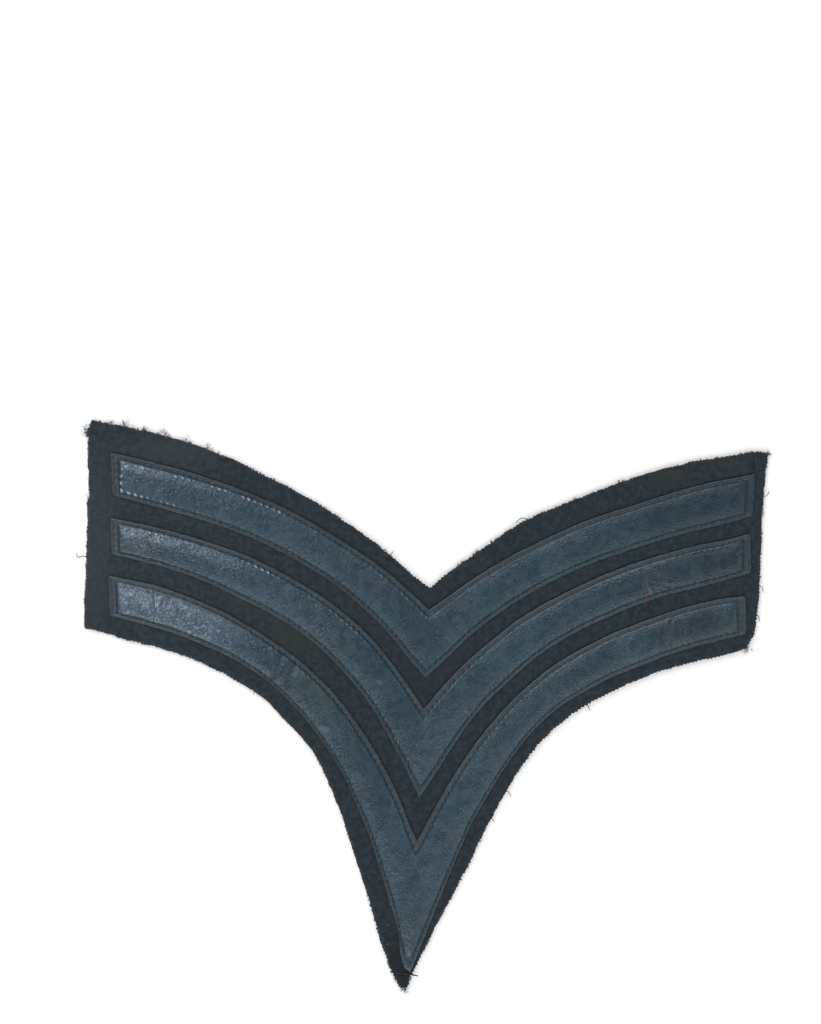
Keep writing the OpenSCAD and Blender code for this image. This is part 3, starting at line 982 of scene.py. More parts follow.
def seamHeight(edge, toEdge, endEdge, phase):
    # the plain form: cut edge, border, line of stitches, step and puffed middle
    row = leather["stitchInset"]
    inset, rise = np.array(leather["cutEdge"]).T
    z = leather["underside"] + np.interp(edge, inset[1:], rise[1:]) \
        + (leather["thickness"] - rise[-1]) * ease(edge, *leather["fullInset"])
    hole = (0.5 + 0.5 * np.cos(phase)) ** 3
    grooveDepth, grooveWidth = leather["groove"]
    holeDepth, holeWidth = leather["dimple"]
    z -= grooveDepth * bell(edge - row, grooveWidth) + holeDepth * hole * bell(edge - row, holeWidth)
    step, stepWidth = leather["step"]
    z += step * ease(edge, row, row + stepWidth)
    acrossShare = np.clip((toEdge - row) / (leather["width"] / 2 - row), 0, 1)
    endShare = np.clip((endEdge - row) / leather["endSlope"], 0, 1)
    return z + leather["crown"] * (1 - (1 - acrossShare) ** leather["flatTop"]) * (1 - (1 - endShare) ** 2)


def puckersOf(bar, side, x, y, share, edge, fromEnd, upper, phase):
    # the shape of the puckers and how tall each is
    onLeft, onRight = bar["beads"]
    if side < 0:
        nearEnd = ease(fromEnd, *puckers["nearEnd"])
        tall = np.where(upper, 1 + onLeft * ease(share, *puckers["upperFade"]),
                        1 + puckers["lowerShare"] * onLeft * nearEnd ** 3)
    else:
        nearEnd = np.zeros_like(fromEnd)
        start, end, less = puckers["rightFade"]
        tall = np.where(upper, onRight, 1.0) * (1 - less * ease(x, start, end))
    place = leather["stitchInset"] + puckers["place"] + np.where(upper, *puckers["further"]) * nearEnd
    drift, driftSize = puckers["drift"]
    fold = 0.5 - 0.5 * np.cos(phase + drift * hills(x, y, driftSize, bar["seed"] + 2))
    mean, varied, size, least = puckers["uneven"]
    uneven = np.maximum(mean + varied * hills(x, y, size, bar["seed"] + 3), least)
    return fold * bell(edge - place, puckers["reach"]) * uneven, tall


def grainOf(bar, x, y, edge, soft):
    size, turn, drawn = bar["grain"]
    along, across = turned(x, y, turn)
    valley, lean = pebbled(along / drawn, across, size, bar["seed"] + 6)
    mean, varied, hillSize = leather["fullness"]
    start, end, less = leather["smoother"]
    fullness = (mean + varied * hills(x, y, hillSize, bar["seed"] + 5)) * (1 - less * ease(x, start, end))
    allOver, inMiddle = leather["grainShares"]
    height = leather["grainDepth"] * valley + leather["grainLean"] * lean
    return height * fullness * (allOver * ease(edge, *leather["surface"]) + inMiddle * soft), valley


# where the left wing is polished and gets painted sheen and glints
def wearAndGlintOf(bar, v, fromEnd):
    worn = np.zeros_like(fromEnd)
    fade = leather["wearAndGlintFade"]
    for start, end, below, above, strength in bar["worn"]:
        zone = (1 - ease(fromEnd, start, end)) * ease(v, below - fade, below + fade)
        worn = np.maximum(worn, strength * zone * (1 - ease(v, above - fade, above + fade)))
    return worn


def creased(bar, x, y, z, edge, soft):
    # puts in the creases and wrinkles of a bar, and where the creases get painted shade
    crease = np.zeros_like(z)
    stray, straySize = leather["creaseWander"]
    lipPlace, lipWidth = leather["creaseLip"]
    for a, b, depth, width, lip, dark in bar["creases"]:
        off, beyond = segmentDistance(x, y, a, b)
        off = off + stray * hills(x, y, straySize, bar["seed"] + 8)
        here = bell(beyond, leather["creaseEnds"]) * ease(edge, *leather["creaseInset"])
        lips = lip * bell(np.abs(off) - lipPlace * width, lipWidth * width)
        z = z + here * (lips - depth * bell(off, width))
        # the darkness along a crease is painted shade
        crease = np.maximum(crease, here * bell(off, width) * dark)
    bend, bendSize = leather["wrinkleBend"]
    for centre, reach, turn, depth in bar["wrinkles"]:
        mask = bell(np.hypot((x - centre[0]) / reach[0], (y - centre[1]) / reach[1]), 1.0) * soft
        along, across = turned(x, y, turn)
        along = along / leather["wrinkleStretch"] + bend * hills(x, y, bendSize, 9)
        ridges = 1 - np.abs(hills(along, across, leather["wrinkleSize"], bar["seed"] + 9)) * 2
        z = z + depth * mask * ridges
    return z, crease


def wingHeight(name, wing, share, v):
    # height of the leather, and what its material has to know there
    bar = bars[name]
    width, row = leather["width"], leather["stitchInset"]
    x, y = onWing(wing, share, v)
    low, high = v * width, (1 - v) * width
    upper = high < low
    toEdge = np.minimum(low, high)
    fromEnd = share * (wing["lowRun"][-1] * (1 - v) + wing["highRun"][-1] * v)
    endEdge = np.interp(fromEnd, *leather["endProfile"])
    edge = np.minimum(toEdge, endEdge)
    soft = ease(edge, *[row + inside for inside in leather["softFrom"]])
    along = np.where(upper, wing["highRun"][-1], wing["lowRun"][-1]) * (1 - share)
    along = np.where(endEdge < toEdge, low - row, along)
    phase = fullTurn * along / leather["pitch"]

    z = seamHeight(edge, toEdge, endEdge, phase)
    bead, tall = puckersOf(bar, wing["side"], x, y, share, edge, fromEnd, upper, phase)
    z += puckers["height"] * tall * bead
    grain, valley = grainOf(bar, x, y, edge, soft)
    z += grain
    depth, size = leather["swells"]
    z += soft * depth * hills(x, y, size, bar["seed"] + 4)
    centre, reach, slope = bar["lean"]
    z += slope * (0.5 - v) * width * soft * bell(np.hypot(x - centre[0], y - centre[1]) / reach, 1)
    depth, size = leather["ripples"]
    z += depth * hills(x, y, size, bar["seed"] + 7) * ease(edge, *leather["surface"])
    z, crease = creased(bar, x, y, z, edge, soft)
    worn = wearAndGlintOf(bar, v, fromEnd) * soft * (wing["side"] < 0)
    return x, y, z, {"edgeDistance": edge, "crease": crease, "bead": bead * tall, "valley": -valley,
                     "worn": worn, "fromEnd": fromEnd}


def roundedCorner(toLong, toEnd):
    # distances from a long edge and from the wing end, drawn in so that the corner is round
    r = leather["cornerRound"]
    a = np.clip(r - toLong, 0, None)
    b = np.clip(r - toEnd, 0, None)
    shrink = np.maximum(a, b) / np.maximum(np.hypot(a, b), 1e-9)
    corner = (a > 0) & (b > 0)
    return np.where(corner, r - a * shrink, toLong), np.where(corner, r - b * shrink, toEnd)


def wingGrid(name, wing, rows, rowRise):
    # the points of one wing's face, row by row, and what its material has to know
    width = leather["width"]
    insets, rises = [list(numbers) for numbers in zip(*leather["cutEdge"])]
    length = meanLength(wing)
    ends = insets + leather["endColumns"]
    columns = ends + list(np.linspace(ends[-1], length, int(length / leather["columnStep"]))[1:])
    columnRise = rises + [math.inf] * (len(columns) - len(insets))
    if wing["side"] > 0:
        columns = columns[::-1][1:]
        columnRise = columnRise[::-1][1:]
    fromLow, fromEnd = np.meshgrid(rows, columns, indexing="ij")
    limit = np.minimum(*np.meshgrid(rowRise, columnRise, indexing="ij"))
    toLong, toEnd = roundedCorner(np.minimum(fromLow, width - fromLow), fromEnd)
    v = np.where(fromLow < width / 2, toLong, width - toLong) / width
    x, y, z, known = wingHeight(name, wing, toEnd / length, v)
    return np.stack([x, y, np.minimum(z, leather["underside"] + limit)], 2), known


def makeBar(name, material):
    wings = wingsOf(name)
    insets, rises = [list(numbers) for numbers in zip(*leather["cutEdge"])]
    rows = insets + leather["rows"]
    rowRise = rises + [math.inf] * len(leather["rows"])
    rows = rows + [leather["width"] - r for r in reversed(rows[:-1])]
    rowRise = rowRise + rowRise[-2::-1]
    grids, keep = zip(*[wingGrid(name, wing, rows, rowRise) for wing in wings])
    grid = np.concatenate(grids, 1)
    rowCount, columnCount = grid.shape[:2]
    # the ridge where the wings meet is eased
    middle = grids[0].shape[1] - 1
    cut = len(insets)
    rounds, reach = leather["ridgeEase"]
    for _ in range(rounds):
        for k in range(middle - reach, middle + reach + 1):
            grid[cut:-cut, k, 2] = grid[cut:-cut, k - 1:k + 2, 2].sum(1) / 3
    number = np.arange(rowCount * columnCount).reshape(rowCount, columnCount)
    quads = np.stack([number[:-1, :-1], number[:-1, 1:], number[1:, 1:], number[1:, :-1]], -1)
    faces = quads.reshape(-1, 4).tolist()
    # the underside, one strip with a many-sided face at each wing end
    for k in range(columnCount - 1):
        face = [number[-1, k], number[-1, k + 1]]
        if k == columnCount - 2:
            face += number[1:-1, k + 1][::-1].tolist()
        face += [number[0, k + 1], number[0, k]]
        if k == 0:
            face += number[1:-1, 0].tolist()
        faces.append([int(i) for i in face])
    values = {label: np.concatenate([known[label] for known in keep], 1).ravel() for label in keep[0]}
    piece = makePiece("leather_" + name, grid.reshape(-1, 3), faces, material, values)
    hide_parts(name)
    return piece, wings


# The machine stitching: short threads that dip into the needle holes

thread = {
    "dark": (0.046, 0.064, 0.072),
    "light": (0.130, 0.165, 0.178),
    "radius": 0.14,
    "thinner": 0.45,          # how much thinner it is at its ends
    "varied": (0.85, 1.1),    # thickness of the thinnest and the thickest stitch
    "lift": 0.11,
    "dip": 0.3,               # how far its ends go down
    "taut": 0.6,              # how straight it lies over what is below
    "wander": 0.05,           # how far it lies beside its row
    "holeGap": 0.3,           # from a hole to the visible end of the thread
    "overrun": 0.6,           # how far a row runs on past the stitches of the wing end
    "acrossEnd": 5,           # stitches across a wing end
    "endGap": 0.06,           # between these, as a share of one
    "rings": [-1.0, -0.8, -0.45, 0.0, 0.45, 0.8, 1.0],
    "sides": 6,
}


def stitchPlaces(wings):
    # two ends in the leather for each stitch
    found = []
    row = leather["stitchInset"] / leather["width"]
    pitch = leather["pitch"]
    inset = leather["endInset"]
    gap = thread["holeGap"]
    for wing in wings:
        for v, run in ((row, wing["lowRun"][-1]), (1 - row, wing["highRun"][-1])):
            for k in range(int((run - inset) / pitch) + 1):
                start, end = [1 - (k * pitch + d) / run for d in (gap, pitch - gap)]
                if end * run >= inset - thread["overrun"]:
                    found.append((wing, start, v, end, v))
        share = inset / meanLength(wing)
        size = (1 - 2 * row) / thread["acrossEnd"]
        for k in range(thread["acrossEnd"]):
            start, end = [row + size * (k + part) for part in (thread["endGap"], 1 - thread["endGap"])]
            found.append((wing, share, start, share, end))
    return found


def makeStitches(name, wings, material):
    rng = np.random.RandomState(bars[name]["seed"] + 50)
    rings = np.array(thread["rings"])
    sides = thread["sides"]
    angles = np.arange(sides)[None, :, None] * fullTurn / sides
    points = []
    faces = []
    tone = []
    for wing, shareA, vA, shareB, vB in stitchPlaces(wings):
        t = (rings + 1) / 2
        x, y, z = wingHeight(name, wing, shareA + (shareB - shareA) * t, vA + (vB - vA) * t)[:3]
        z = np.full(len(t), max(z)) * thread["taut"] + z * (1 - thread["taut"])
        middle = np.stack([x, y, z + thread["lift"] - thread["dip"] * np.abs(rings) ** 5], 1)
        ahead = middle[-1] - middle[0]
        ahead /= np.linalg.norm(ahead)
        side = np.array([-ahead[1], ahead[0], 0]) / math.hypot(ahead[0], ahead[1])
        middle = middle + side * rng.uniform(-thread["wander"], thread["wander"])
        radius = thread["radius"] * (1 - thread["thinner"] * np.abs(rings) ** 4)
        radius = radius * rng.uniform(*thread["varied"])
        faces += tubeFaces(len(points) * len(rings) * sides, len(rings), sides)
        around = np.cos(angles) * side + np.sin(angles) * straightUp
        ring = middle[:, None, :] + radius[:, None, None] * around
        points.append(ring.reshape(-1, 3))
        tone += [rng.uniform(0, 1)] * (len(rings) * sides)
    return makePiece("stitches_" + name, np.concatenate(points), faces, material,
                     {"tone": tone})


stitchThread = fuzzMaterial("stitchThread", thread["dark"], thread["light"])
barLoops = []
for barName, bar in bars.items():
    leatherSkin = leatherMaterial("leather_" + barName, leatherLook, bar["patches"], bar["shine"])
    barPiece, barWings = makeBar(barName, leatherSkin)
    barLoops.append(loopOf(barWings))
    stitchPiece = makeStitches(barName, barWings, stitchThread)
    print(barName, len(barPiece.data.polygons), "faces,", len(stitchPiece.data.polygons), "in its stitches")


# The cloth: one V cut with a raw, uneven edge, puckered a little round the bars

cloth = {
    "seed": 10,
    "gridStep": 0.85,
    "gridShake": 0.25,        # how far the grid's points are shaken, in steps
    "gridInset": 1.9,         # from the edge to the grid
    "rings": [(0.75, 2), (1.5, 3)],  # rings of points between: mm from the edge, one in how many points
    "ringInset": 0.55,        # none of their points is nearer to an edge
    "edgeStep": 0.42,
    "edgeRound": 3.0,         # mm over which the CAD outline's facets are rounded off
    "teeth": 0.3,             # depth of the teeth that the cut yarns leave
    "toothPitch": 1.15,
    "toothShares": (0.45, 0.55, 9),  # of that depth everywhere, in places, and how far apart these are
    # how far the cut wanders, and over how many mm
    "wander": [(0.18, 6), (0.15, 1.7), (0.08, 0.5)],
    "rim": 0.9,               # mm over which the edge is rounded
    "edgeDrop": 0.45,         # how far the rim is rounded down
    "edgeRise": 0.25,         # and up from below
    "underside": (0.06, 0.05, 3),  # height of the back, and depth and size of its hills
    "flat": 1.70,             # height of the cloth under a bar
    "puff": 0.2,              # how far the cloth stands up between the bars
    "puffReach": (0.2, 1.8),  # mm from a bar where that starts and is full
    "rough": [(0.06, 1.9), (0.06, 5.5)],  # depth and size of the hills on its face
    "roughReach": (-0.5, 0.8),  # mm from a bar where they start and are full
    "groove": (0.12, 0.15, 0.45),  # drawn down by the stitching above a bar: depth, mm from it, width
    "swell": (0.3, 0.5, 0.8),  # standing up below a bar, the same
    "swellStart": 0.2,        # mm from the bar over which that starts
    "facesUp": (-0.4, 0.4),   # how far a bar's edge faces up the patch where it isn't above and is
    "facesDown": (0.1, -0.6),  # the same for below
    "facesAway": (0.2, -0.2),  # where an edge gives the cloth shade and where not
    # small folds: both ends, height, width
    "folds": [((97.7, 83.4), (98.1, 76.9), -0.35, 0.45), ((98.1, 76.9), (100.4, 75.2), -0.25, 0.4)],
    # layers of the cut side: share of the height, and how far they stick out and don't line up
    "layers": (0.33, 0.66),
    "layerOut": 0.1,
    "layerShift": (0.16, 0.8),
    "farAway": 9.0,           # from the leather, for what gets no shade
    # lobes of the edge: place, reach, shift in mm
    "bulges": [
        ((-102.9, 79.3), 1.5, (-1.15, -0.2)),
        ((1.0, -82.4), 3.0, (0.75, 0.0)),
    ],
    # how far the hand-cut edge lies outside the plain line: mm from the point round to the right, offset
    "cut": [
        (0, -0.5), (12, -0.7), (36, -0.4), (42, -0.2), (54, -0.6), (66, -0.45), (78, -0.8), (84, -1.25),
        (90, -1.5), (96, -1.5), (102, -1.2), (108, -0.8), (114, -0.3), (126, -0.2), (138, -0.55),
        (150, -0.2), (156, -0.4), (174, -0.6), (186, -0.45), (198, -0.65), (210, -0.75), (216, -0.2),
        (222, 0), (270, 0), (276, 0.3), (288, 0.9), (294, 1.3), (300, 0.85), (306, 0.55), (318, 0.35),
        (324, 0.05), (330, -0.5), (342, -0.4), (348, -0.1), (360, 0.3), (384, 0.6), (396, 1.0),
        (402, 1.25), (414, 1.1), (420, 0.9), (426, 0.7), (432, 0.3), (438, 0.2), (444, 0.5), (456, 0.5),
        (462, 0.4), (468, -0.1), (486, -0.05), (492, 0.2), (504, -0.2), (510, -0.4), (516, 0),
        (522, -0.1), (528, -0.35), (540, -0.5), (546, -0.9), (552, -1.0), (558, -1.6), (564, -1.9),
        (570, -1.5), (576, -1.7), (582, -1.95), (588, -1.5), (594, -0.85), (600, -0.65), (606, -0.3),
        (618, -0.6), (630, -0.4), (642, 0), (654, 0.05), (660, -0.4),
    ],
    "cutRound": (12, 2.5),    # that line is smoothed over so many steps each way, with this reach in mm
}

barLines = [resampled(closedLoop(loop), 0.5) for loop in barLoops]
barEdge = np.concatenate(barLines)
barEdgeOut = np.concatenate([normalsOf(line) for line in barLines])
barTree = treeOf(barEdge)


def distanceToBars(x, y):
    # from the nearest bar's edge, in mm, negative under a bar, and how much that edge faces up the patch
    found = [barTree.find((a, b, 0)) for a, b in zip(x, y)]
    away = np.array([spotFound[2] for spotFound in found])
    facing = barEdgeOut[[spotFound[1] for spotFound in found], 1]
    for loop in barLoops:
        away[insideLoop(loop, x, y)] *= -1
    return away, facing


def clothTop(x, y, away, facing):
    # height of the face of the cloth, away from the nearest bar's edge: it stands up below a bar
    fine, broad = [depth * hills(x, y, size, cloth["seed"] + 1 + k)
                   for k, (depth, size) in enumerate(cloth["rough"])]
    depth, place, width = cloth["groove"]
    groove = bell(away - place, width) * depth * ease(facing, *cloth["facesUp"])
    height, place, width = cloth["swell"]
    swell = height * bell(away - place, width) * ease(facing, *cloth["facesDown"])
    swell = swell * ease(away, 0, cloth["swellStart"])
    z = cloth["flat"] + cloth["puff"] * ease(away, *cloth["puffReach"]) \
        + (fine + broad) * ease(away, *cloth["roughReach"]) - (groove - swell)
    for a, b, height, width in cloth["folds"]:
        off, beyond = segmentDistance(x, y, a, b)
        z += height * bell(off, width) * bell(beyond, 1.0)
    return z


def clothEdge():
    # the smooth line of the cut, and the same line with its teeth and its wandering
    loop = cadOutline("backing_cloth")
    corners = cornersOf(loop, 8)
    step = cloth["edgeStep"]
    runs = []
    for a, b in zip(corners, corners[1:] + [corners[0] + len(loop)]):
        part = loop[np.arange(a, b + 1) % len(loop)]
        line = softened(part, step / 2, cloth["edgeRound"]) if len(part) > 2 else resampled(part, step / 2)
        runs.append(line[:-1])
    smooth = resampled(closedLoop(np.concatenate(runs)), step)[:-1]
    smooth = np.roll(smooth, -np.argmin(smooth[:, 1]), 0)
    run = lengthAlong(smooth)
    places, offsets = np.array(cloth["cut"]).T
    count, reach = cloth["cutRound"]
    weights = bell(np.arange(-count, count + 1) * step, reach)
    around = np.pad(np.interp(run, places, offsets), count, "wrap")
    cut = np.convolve(around, weights / weights.sum(), "valid")
    smooth = smooth + normalsOf(smooth, closed=True) * cut[:, None]
    for place, reach, shift in cloth["bulges"]:
        near = bell(np.hypot(*(smooth - place).T), reach)
        smooth = smooth + near[:, None] * np.array(shift)
    out = normalsOf(smooth, closed=True)
    x, y = smooth.T
    everywhere, inPlaces, size = cloth["toothShares"]
    strength = everywhere + inPlaces * hills(x, y, size, cloth["seed"] + 11)
    jag = cloth["teeth"] * np.cos(fullTurn * run / cloth["toothPitch"]) * strength
    for k, (depth, size) in enumerate(cloth["wander"]):
        jag = jag + depth * hills(x, y, size, cloth["seed"] + 12 + k)
    return smooth, smooth + out * jag[:, None], out


def clothPoints(smooth, jagged, out):
    # the rim, the rings inside it, and a shaken grid over the rest
    low, high = jagged.min(0) - 1, jagged.max(0) + 1
    step = cloth["gridStep"]
    gx, gy = np.meshgrid(np.arange(low[0], high[0], step), np.arange(low[1], high[1], step))
    rng = np.random.RandomState(cloth["seed"] + 21)
    shake = cloth["gridShake"]
    grid = np.stack([gx.ravel(), gy.ravel()], 1) + rng.uniform(-shake, shake, (gx.size, 2)) * step
    edgeTree = treeOf(smooth)
    sets = [((smooth - out * inset)[::every], cloth["ringInset"]) for inset, every in cloth["rings"]]
    chosen = [jagged]
    for points, least in sets + [(grid, cloth["gridInset"])]:
        points = points[insideLoop(smooth, points[:, 0], points[:, 1])]
        deep = np.array([edgeTree.find((a, b, 0))[2] for a, b in points])
        chosen.append(points[deep > least])
    return np.concatenate(chosen), edgeTree


def makeCloth(material):
    smooth, jagged, out = clothEdge()
    rim = len(jagged)
    flat, edgeTree = clothPoints(smooth, jagged, out)
    sides = [(i, (i + 1) % rim) for i in range(rim)]
    made = delaunay_2d_cdt([Vector(p) for p in flat.tolist()], sides, [], 1, 1e-5)
    points = np.array([tuple(v) for v in made[0]])
    triangles = [tuple(f) for f in made[2]]
    count = len(points)
    x, y = points.T
    away, facing = distanceToBars(x, y)
    deep = np.array([edgeTree.find((a, b, 0))[2] for a, b in points])
    deep[:rim] = 0
    rounding = 1 - ease(deep, 0.0, cloth["rim"])
    height, depth, size = cloth["underside"]
    top = clothTop(x, y, away, facing) - cloth["edgeDrop"] * rounding
    bottom = height + depth * hills(x, y, size, cloth["seed"] + 4) + cloth["edgeRise"] * rounding
    solid = [np.column_stack([points, top]), np.column_stack([points, bottom])]
    faces = triangles + [tuple(count + i for i in reversed(f)) for f in triangles]
    # the cut side, in layers that don't quite line up
    run = lengthAlong(smooth)
    shift, size = cloth["layerShift"]
    below = count
    for level, share in enumerate(cloth["layers"]):
        uneven = shift * hills(run, np.full(rim, level * 9.0), size, cloth["seed"] + 15 + level)
        layer = jagged + out * (uneven + cloth["layerOut"])[:, None]
        above = sum(len(p) for p in solid)
        solid.append(np.column_stack([layer, bottom[:rim] * (1 - share) + top[:rim] * share]))
        faces += [(below + i, below + j, above + j, above + i) for i, j in sides]
        below = above
    faces += [(below + i, below + j, j, i) for i, j in sides]
    points = np.concatenate(solid)
    beside = np.full(len(points), cloth["farAway"])
    beside[:count] = away + cloth["farAway"] * ease(facing, *cloth["facesAway"])
    piece = makePiece("wool_backing", points, faces, material, {"besideLeather": beside})
    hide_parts("backing_cloth")
    return piece, smooth, out


clothPiece, clothLine, clothOut = makeCloth(clothMaterial(clothLook))
print("cloth", len(clothPiece.data.polygons), "faces")


# Fibres: tapering hairs joined into one mesh

fibre = {
    "steps": [0.0, 0.35, 0.7, 1.0],  # places of the rings along a hair, the last is its tip
    "sides": 3,
    "taper": 0.6,
    "sag": (-0.6, 0.3),
    "lowest": 0.03,           # none goes below this height
}


def makeFibres(name, roots, headings, lengths, radius, bend, material, rng):
    # headings are unit directions, bend turns each hair sideways along its length
    count = len(roots)
    sides = fibre["sides"]
    side = np.cross(headings, straightUp)
    side /= np.linalg.norm(side, axis=1)[:, None] + 1e-9
    up = np.cross(side, headings)
    curl = rng.uniform(-1, 1, count) * bend
    sag = rng.uniform(*fibre["sag"], count) * bend
    angles = np.arange(sides)[None, :, None] * fullTurn / sides
    rings = []
    for s in fibre["steps"]:
        centre = roots + headings * (lengths * s)[:, None] \
            + side * (lengths * curl * s * s)[:, None] + up * (lengths * sag * s * s)[:, None]
        centre[:, 2] = np.maximum(centre[:, 2], fibre["lowest"])
        centre = centre[:, None, :]
        if s < 1:
            r = radius * (1 - fibre["taper"] * s)
            centre = centre + r * (np.cos(angles) * side[:, None, :] + np.sin(angles) * up[:, None, :])
        rings.append(centre)
    points = np.concatenate(rings, 1)
    each = points.shape[1]
    last = each - 1 - sides
    tip = [(last + b, last + (b + 1) % sides, each - 1) for b in range(sides)]
    tube = tubeFaces(0, len(fibre["steps"]) - 1, sides)
    pattern = tube[-2:-1] + tube[:-2] + tip
    faces = [tuple(k * each + i for i in f) for k in range(count) for f in pattern]
    tone = np.repeat(rng.uniform(0, 1, count), each)
    return makePiece(name, points.reshape(-1, 3), faces, material, {"tone": tone})


fuzz = {
    "seed": 61,
    "dark": (0.026, 0.033, 0.040),
    "light": (0.064, 0.080, 0.092),
    # at the cut edge
    "clumps": 620,
    "perClump": 9,
    "edgeLength": 0.34,
    "longest": 3.2,
    "lengths": (0.6, 1.3),    # within a clump
    "longerIn": (0.5, 12),    # places with longer fibres: how much longer, mm apart
    "shorterBelow": 0.55,     # how much shorter on the edges that face down the patch
    "facesDown": (-0.2, -0.7),  # how far an edge faces up the patch where that starts and is full
    "edgeRadius": 0.075,
    "edgeBend": 0.5,
    "spread": (0.6, 0.3),     # how much the ways of the clumps and of the fibres in one differ
    "rootSpread": 0.22,
    "rootHeights": (0.25, 1.45),
    "lean": 0.28,
    # thick tufts: place, spread, number, length
    "tufts": [
        ((-103.6, 79.4), 1.9, 70, 0.6),
        ((-92.4, 80.8), 1.8, 90, 0.6),
        ((-80.5, 78.8), 1.8, 90, 0.7),
        ((-101.2, 59.6), 1.0, 30, 0.8),
        ((0.8, -83.2), 0.9, 50, 0.8),
        ((98.6, 24.6), 1.2, 50, 0.9),
        ((-96.5, 81.9), 1.2, 50, 0.5),
        ((-86.5, 80.4), 1.2, 50, 0.55),
        ((-73.5, 77.8), 1.6, 60, 0.55),
        ((-67.0, 75.6), 1.6, 60, 0.5),
    ],
    "tuftSpread": 0.8,
    "tuftHeights": (0.3, 1.6),
    "tuftLean": (0.1, 0.3),
    # on the face of the cloth
    "napCount": 8000,
    "napTries": 6,            # places tried for each, since some fall outside the cloth or under a bar
    "napLength": 0.9,
    "napLongest": 2.4,
    "napRise": 0.35,
    "napRoot": 0.04,          # how deep the roots lie
    "napClear": 0.15,         # mm from the leather
    "napRadius": 0.05,
    "napBend": 0.45,
}


def edgeFuzz(material):
    rng = np.random.RandomState(fuzz["seed"])
    clumps, each = fuzz["clumps"], fuzz["perClump"]
    count = clumps * each
    at = np.repeat(rng.randint(0, len(clothLine), clumps), each)
    betweenClumps, within = fuzz["spread"]
    away = clothOut[at] + np.repeat(rng.normal(0, betweenClumps, (clumps, 2)), each, 0) \
        + rng.normal(0, within, (count, 2))
    spread = fuzz["rootSpread"]
    roots = np.column_stack([clothLine[at] + rng.uniform(-spread, spread, (count, 2)),
                             rng.uniform(*fuzz["rootHeights"], count)])
    size = np.repeat(rng.gamma(3.0, 1 / 3.0, clumps), each)
    longer, placeSize = fuzz["longerIn"]
    lengths = fuzz["edgeLength"] * size * rng.uniform(*fuzz["lengths"], count) \
        * (1 + longer * hills(*clothLine[at].T, placeSize, fuzz["seed"] + 1)) \
        * (1 - fuzz["shorterBelow"] * ease(clothOut[at][:, 1], *fuzz["facesDown"]))
    lean = rng.normal(0, fuzz["lean"], count)
    for place, spread, number, length in fuzz["tufts"]:
        near = np.argmin(np.hypot(*(clothLine - place).T))
        root = clothLine[near] + rng.normal(0, spread / 2, (number, 2))
        root = np.column_stack([root, rng.uniform(*fuzz["tuftHeights"], number)])
        roots = np.concatenate([roots, root])
        away = np.concatenate([away, clothOut[near] + rng.normal(0, fuzz["tuftSpread"], (number, 2))])
        lengths = np.concatenate([lengths, length * rng.gamma(4.0, 0.25, number)])
        lean = np.concatenate([lean, rng.normal(*fuzz["tuftLean"], number)])
    headings = unit(np.column_stack([unit(away), lean]))
    makeFibres("edge_fuzz", roots, headings, np.minimum(lengths, fuzz["longest"]), fuzz["edgeRadius"],
               fuzz["edgeBend"], material, rng)


def surfaceNap(material):
    rng = np.random.RandomState(fuzz["seed"] + 10)
    spots = rng.uniform(clothLine.min(0), clothLine.max(0), (fuzz["napCount"] * fuzz["napTries"], 2))
    spots = spots[insideLoop(clothLine, spots[:, 0], spots[:, 1])]
    away, facing = distanceToBars(spots[:, 0], spots[:, 1])
    chosen = np.flatnonzero(away > fuzz["napClear"])[:fuzz["napCount"]]
    spots, away, facing = spots[chosen], away[chosen], facing[chosen]
    count = len(spots)
    turn = rng.uniform(0, fullTurn, count)
    headings = unit(np.stack([np.cos(turn), np.sin(turn), rng.uniform(0.0, fuzz["napRise"], count)], 1))
    roots = np.column_stack([spots, clothTop(spots[:, 0], spots[:, 1], away, facing) - fuzz["napRoot"]])
    lengths = fuzz["napLength"] * rng.gamma(3.0, 1 / 3.0, count)
    makeFibres("surface_nap", roots, headings, np.minimum(lengths, fuzz["napLongest"]), fuzz["napRadius"],
               fuzz["napBend"], material, rng)


woolFibre = fuzzMaterial("woolFibre", fuzz["dark"], fuzz["light"])
edgeFuzz(woolFibre)
surfaceNap(woolFibre)
print("fuzz ready")


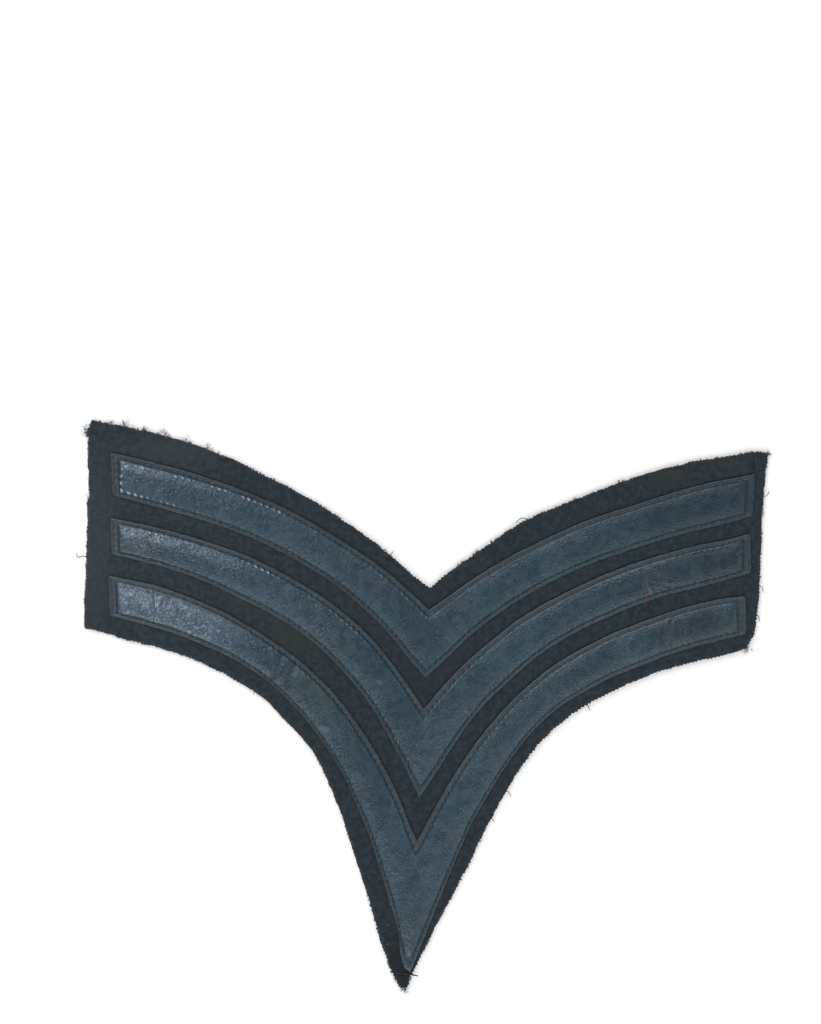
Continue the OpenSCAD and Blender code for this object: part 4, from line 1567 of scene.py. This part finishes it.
# Threads that have worked loose from the cut edge
looseThreads = {
    "sides": 5,
    "points": 14,             # along a thread
    "twist": 0.5,
    "thin": 0.6,              # how thin the ends are, as a share of the middle
    # each one's points in mm, radius, how pale
    "runs": [
        ([(-100.6, 41.2, 1.2), (-102.4, 41.9, 1.5), (-103.9, 41.4, 1.1), (-104.8, 42.6, 0.5)], 0.16, 0.2),
        ([(101.2, 70.2, 1.0), (102.6, 71.2, 1.3), (103.0, 72.4, 0.9)], 0.12, 0.5),
        ([(101.0, 43.4, 1.0), (102.4, 43.2, 1.4), (102.9, 41.6, 0.8)], 0.12, 0.5),
        ([(100.6, 35.0, 1.1), (101.8, 34.4, 1.3), (102.2, 32.8, 0.7)], 0.12, 0.5),
        ([(50.2, 6.0, 1.2), (51.6, 5.0, 1.5), (52.6, 3.2, 0.8)], 0.13, 0.5),
        ([(27.6, -21.8, 1.1), (29.2, -22.4, 1.4), (30.2, -24.0, 0.7)], 0.12, 0.5),
        ([(22.8, -29.6, 1.2), (24.2, -30.4, 1.4), (25.6, -31.8, 0.6)], 0.12, 0.5),
        ([(38.6, -2.8, 1.2), (40.2, -3.4, 1.4), (40.8, -4.8, 0.7)], 0.12, 0.5),
        ([(-8.6, 45.6, 1.4), (-9.8, 46.9, 1.7), (-9.2, 48.4, 1.2)], 0.12, 0.5),
        ([(27.2, 58.6, 1.5), (28.8, 60.2, 1.8), (31.0, 60.0, 1.6)], 0.12, 0.5),
        ([(-3.4, -78.5, 1.5), (-0.6, -78.7, 2.1), (2.8, -78.8, 2.2), (4.9, -79.3, 1.3)], 0.27, 0.0),
    ],
}


def makeThreads(material):
    points = []
    faces = []
    tone = []
    sides, count, thin = [looseThreads[key] for key in ("sides", "points", "thin")]
    for corners, radius, shade in looseThreads["runs"]:
        path = np.stack([curveThrough(axis, np.linspace(0, 1, count)) for axis in zip(*corners)], 1)
        ahead = unit(np.gradient(path, axis=0))
        faces += tubeFaces(len(points), count, sides)
        for k, (p, a) in enumerate(zip(path, ahead)):
            side = np.cross(a, straightUp)
            side /= np.linalg.norm(side) + 1e-9
            up = np.cross(side, a)
            r = radius * (thin + (1 - thin) * math.sin(math.pi * (k + 1) / (count + 1)))
            for b in range(sides):
                angle = fullTurn * b / sides + k * looseThreads["twist"]
                points.append(p + r * (math.cos(angle) * side + math.sin(angle) * up))
                tone.append(shade)
    makePiece("loose_threads", points, faces, material, {"tone": tone})


makeThreads(woolFibre)
print("loose threads ready")


# Floor and light

floorLook = {
    "size": 3.0,              # m
    "below": 0.00002,         # how far it lies below the patch, m
    "clouds": (60.0, 3.0, 0.3, 0.7),
    "pale": (0.96, 0.96, 0.96),
    "paler": (0.98, 0.98, 0.98),
    "plain": {"Roughness": 0.9, "Specular IOR Level": 0.1, "Emission Color": (1.0, 1.0, 1.0, 1.0),
              "Emission Strength": 0.22},
}


def makeFloor(look):
    half = look["size"] / 2
    mesh = bpy.data.meshes.new("floor")
    mesh.from_pydata([(-half, -half, 0), (half, -half, 0), (half, half, 0), (-half, half, 0)], [],
                     [(0, 1, 2, 3)])
    material, tree, shader, where = startMaterial("floorPaper")
    tint = blendColour(tree, cloudy(tree, where, look["clouds"]), look["pale"], look["paler"])
    finishMaterial(tree, shader, tint, None, look["plain"])
    mesh.materials.append(material)
    floor = bpy.data.objects.new("floor", mesh)
    floor.location = (0, 0, -look["below"])
    intoScene(floor)


studio = {
    "sky": 0.16,
    "skyColour": (1.0, 1.0, 1.0, 1.0),
    # name, place in m, aim in m, size in m, watts, how wide it shines in degrees
    "lamps": [
        ("windowLeft", (-0.35, 0.80, 0.80), (0, 0.02, 0), 1.0, 8.2, 180),
        ("windowLow", (-0.10, -0.78, 0.80), (0, 0.02, 0), 1.0, 7.0, 180),
        ("fillRight", (0.75, -0.20, 0.70), (0, 0.02, 0), 0.60, 1.6, 180),
        ("glintLeft", (-0.133, 0.101, 0.25), (-0.092, 0.045, 0), 0.03, 0.0030, 32),
    ],
}


def makeLights():
    for name, place, target, size, power, spread in studio["lamps"]:
        data = bpy.data.lights.new(name, "AREA")
        data.size = size
        data.energy = power
        data.spread = math.radians(spread)
        lamp = bpy.data.objects.new(name, data)
        lamp.location = place
        lamp.rotation_euler = (Vector(target) - Vector(place)).to_track_quat("-Z", "Y").to_euler()
        intoScene(lamp)
    world = bpy.data.worlds.new("softRoom")
    world.use_nodes = True
    sky = world.node_tree.nodes["Background"]
    sky.inputs["Color"].default_value = studio["skyColour"]
    sky.inputs["Strength"].default_value = studio["sky"]
    bpy.context.scene.world = world
    bpy.context.scene.view_settings.view_transform = "Standard"


makeFloor(floorLook)
makeLights()
print("floor and light ready")
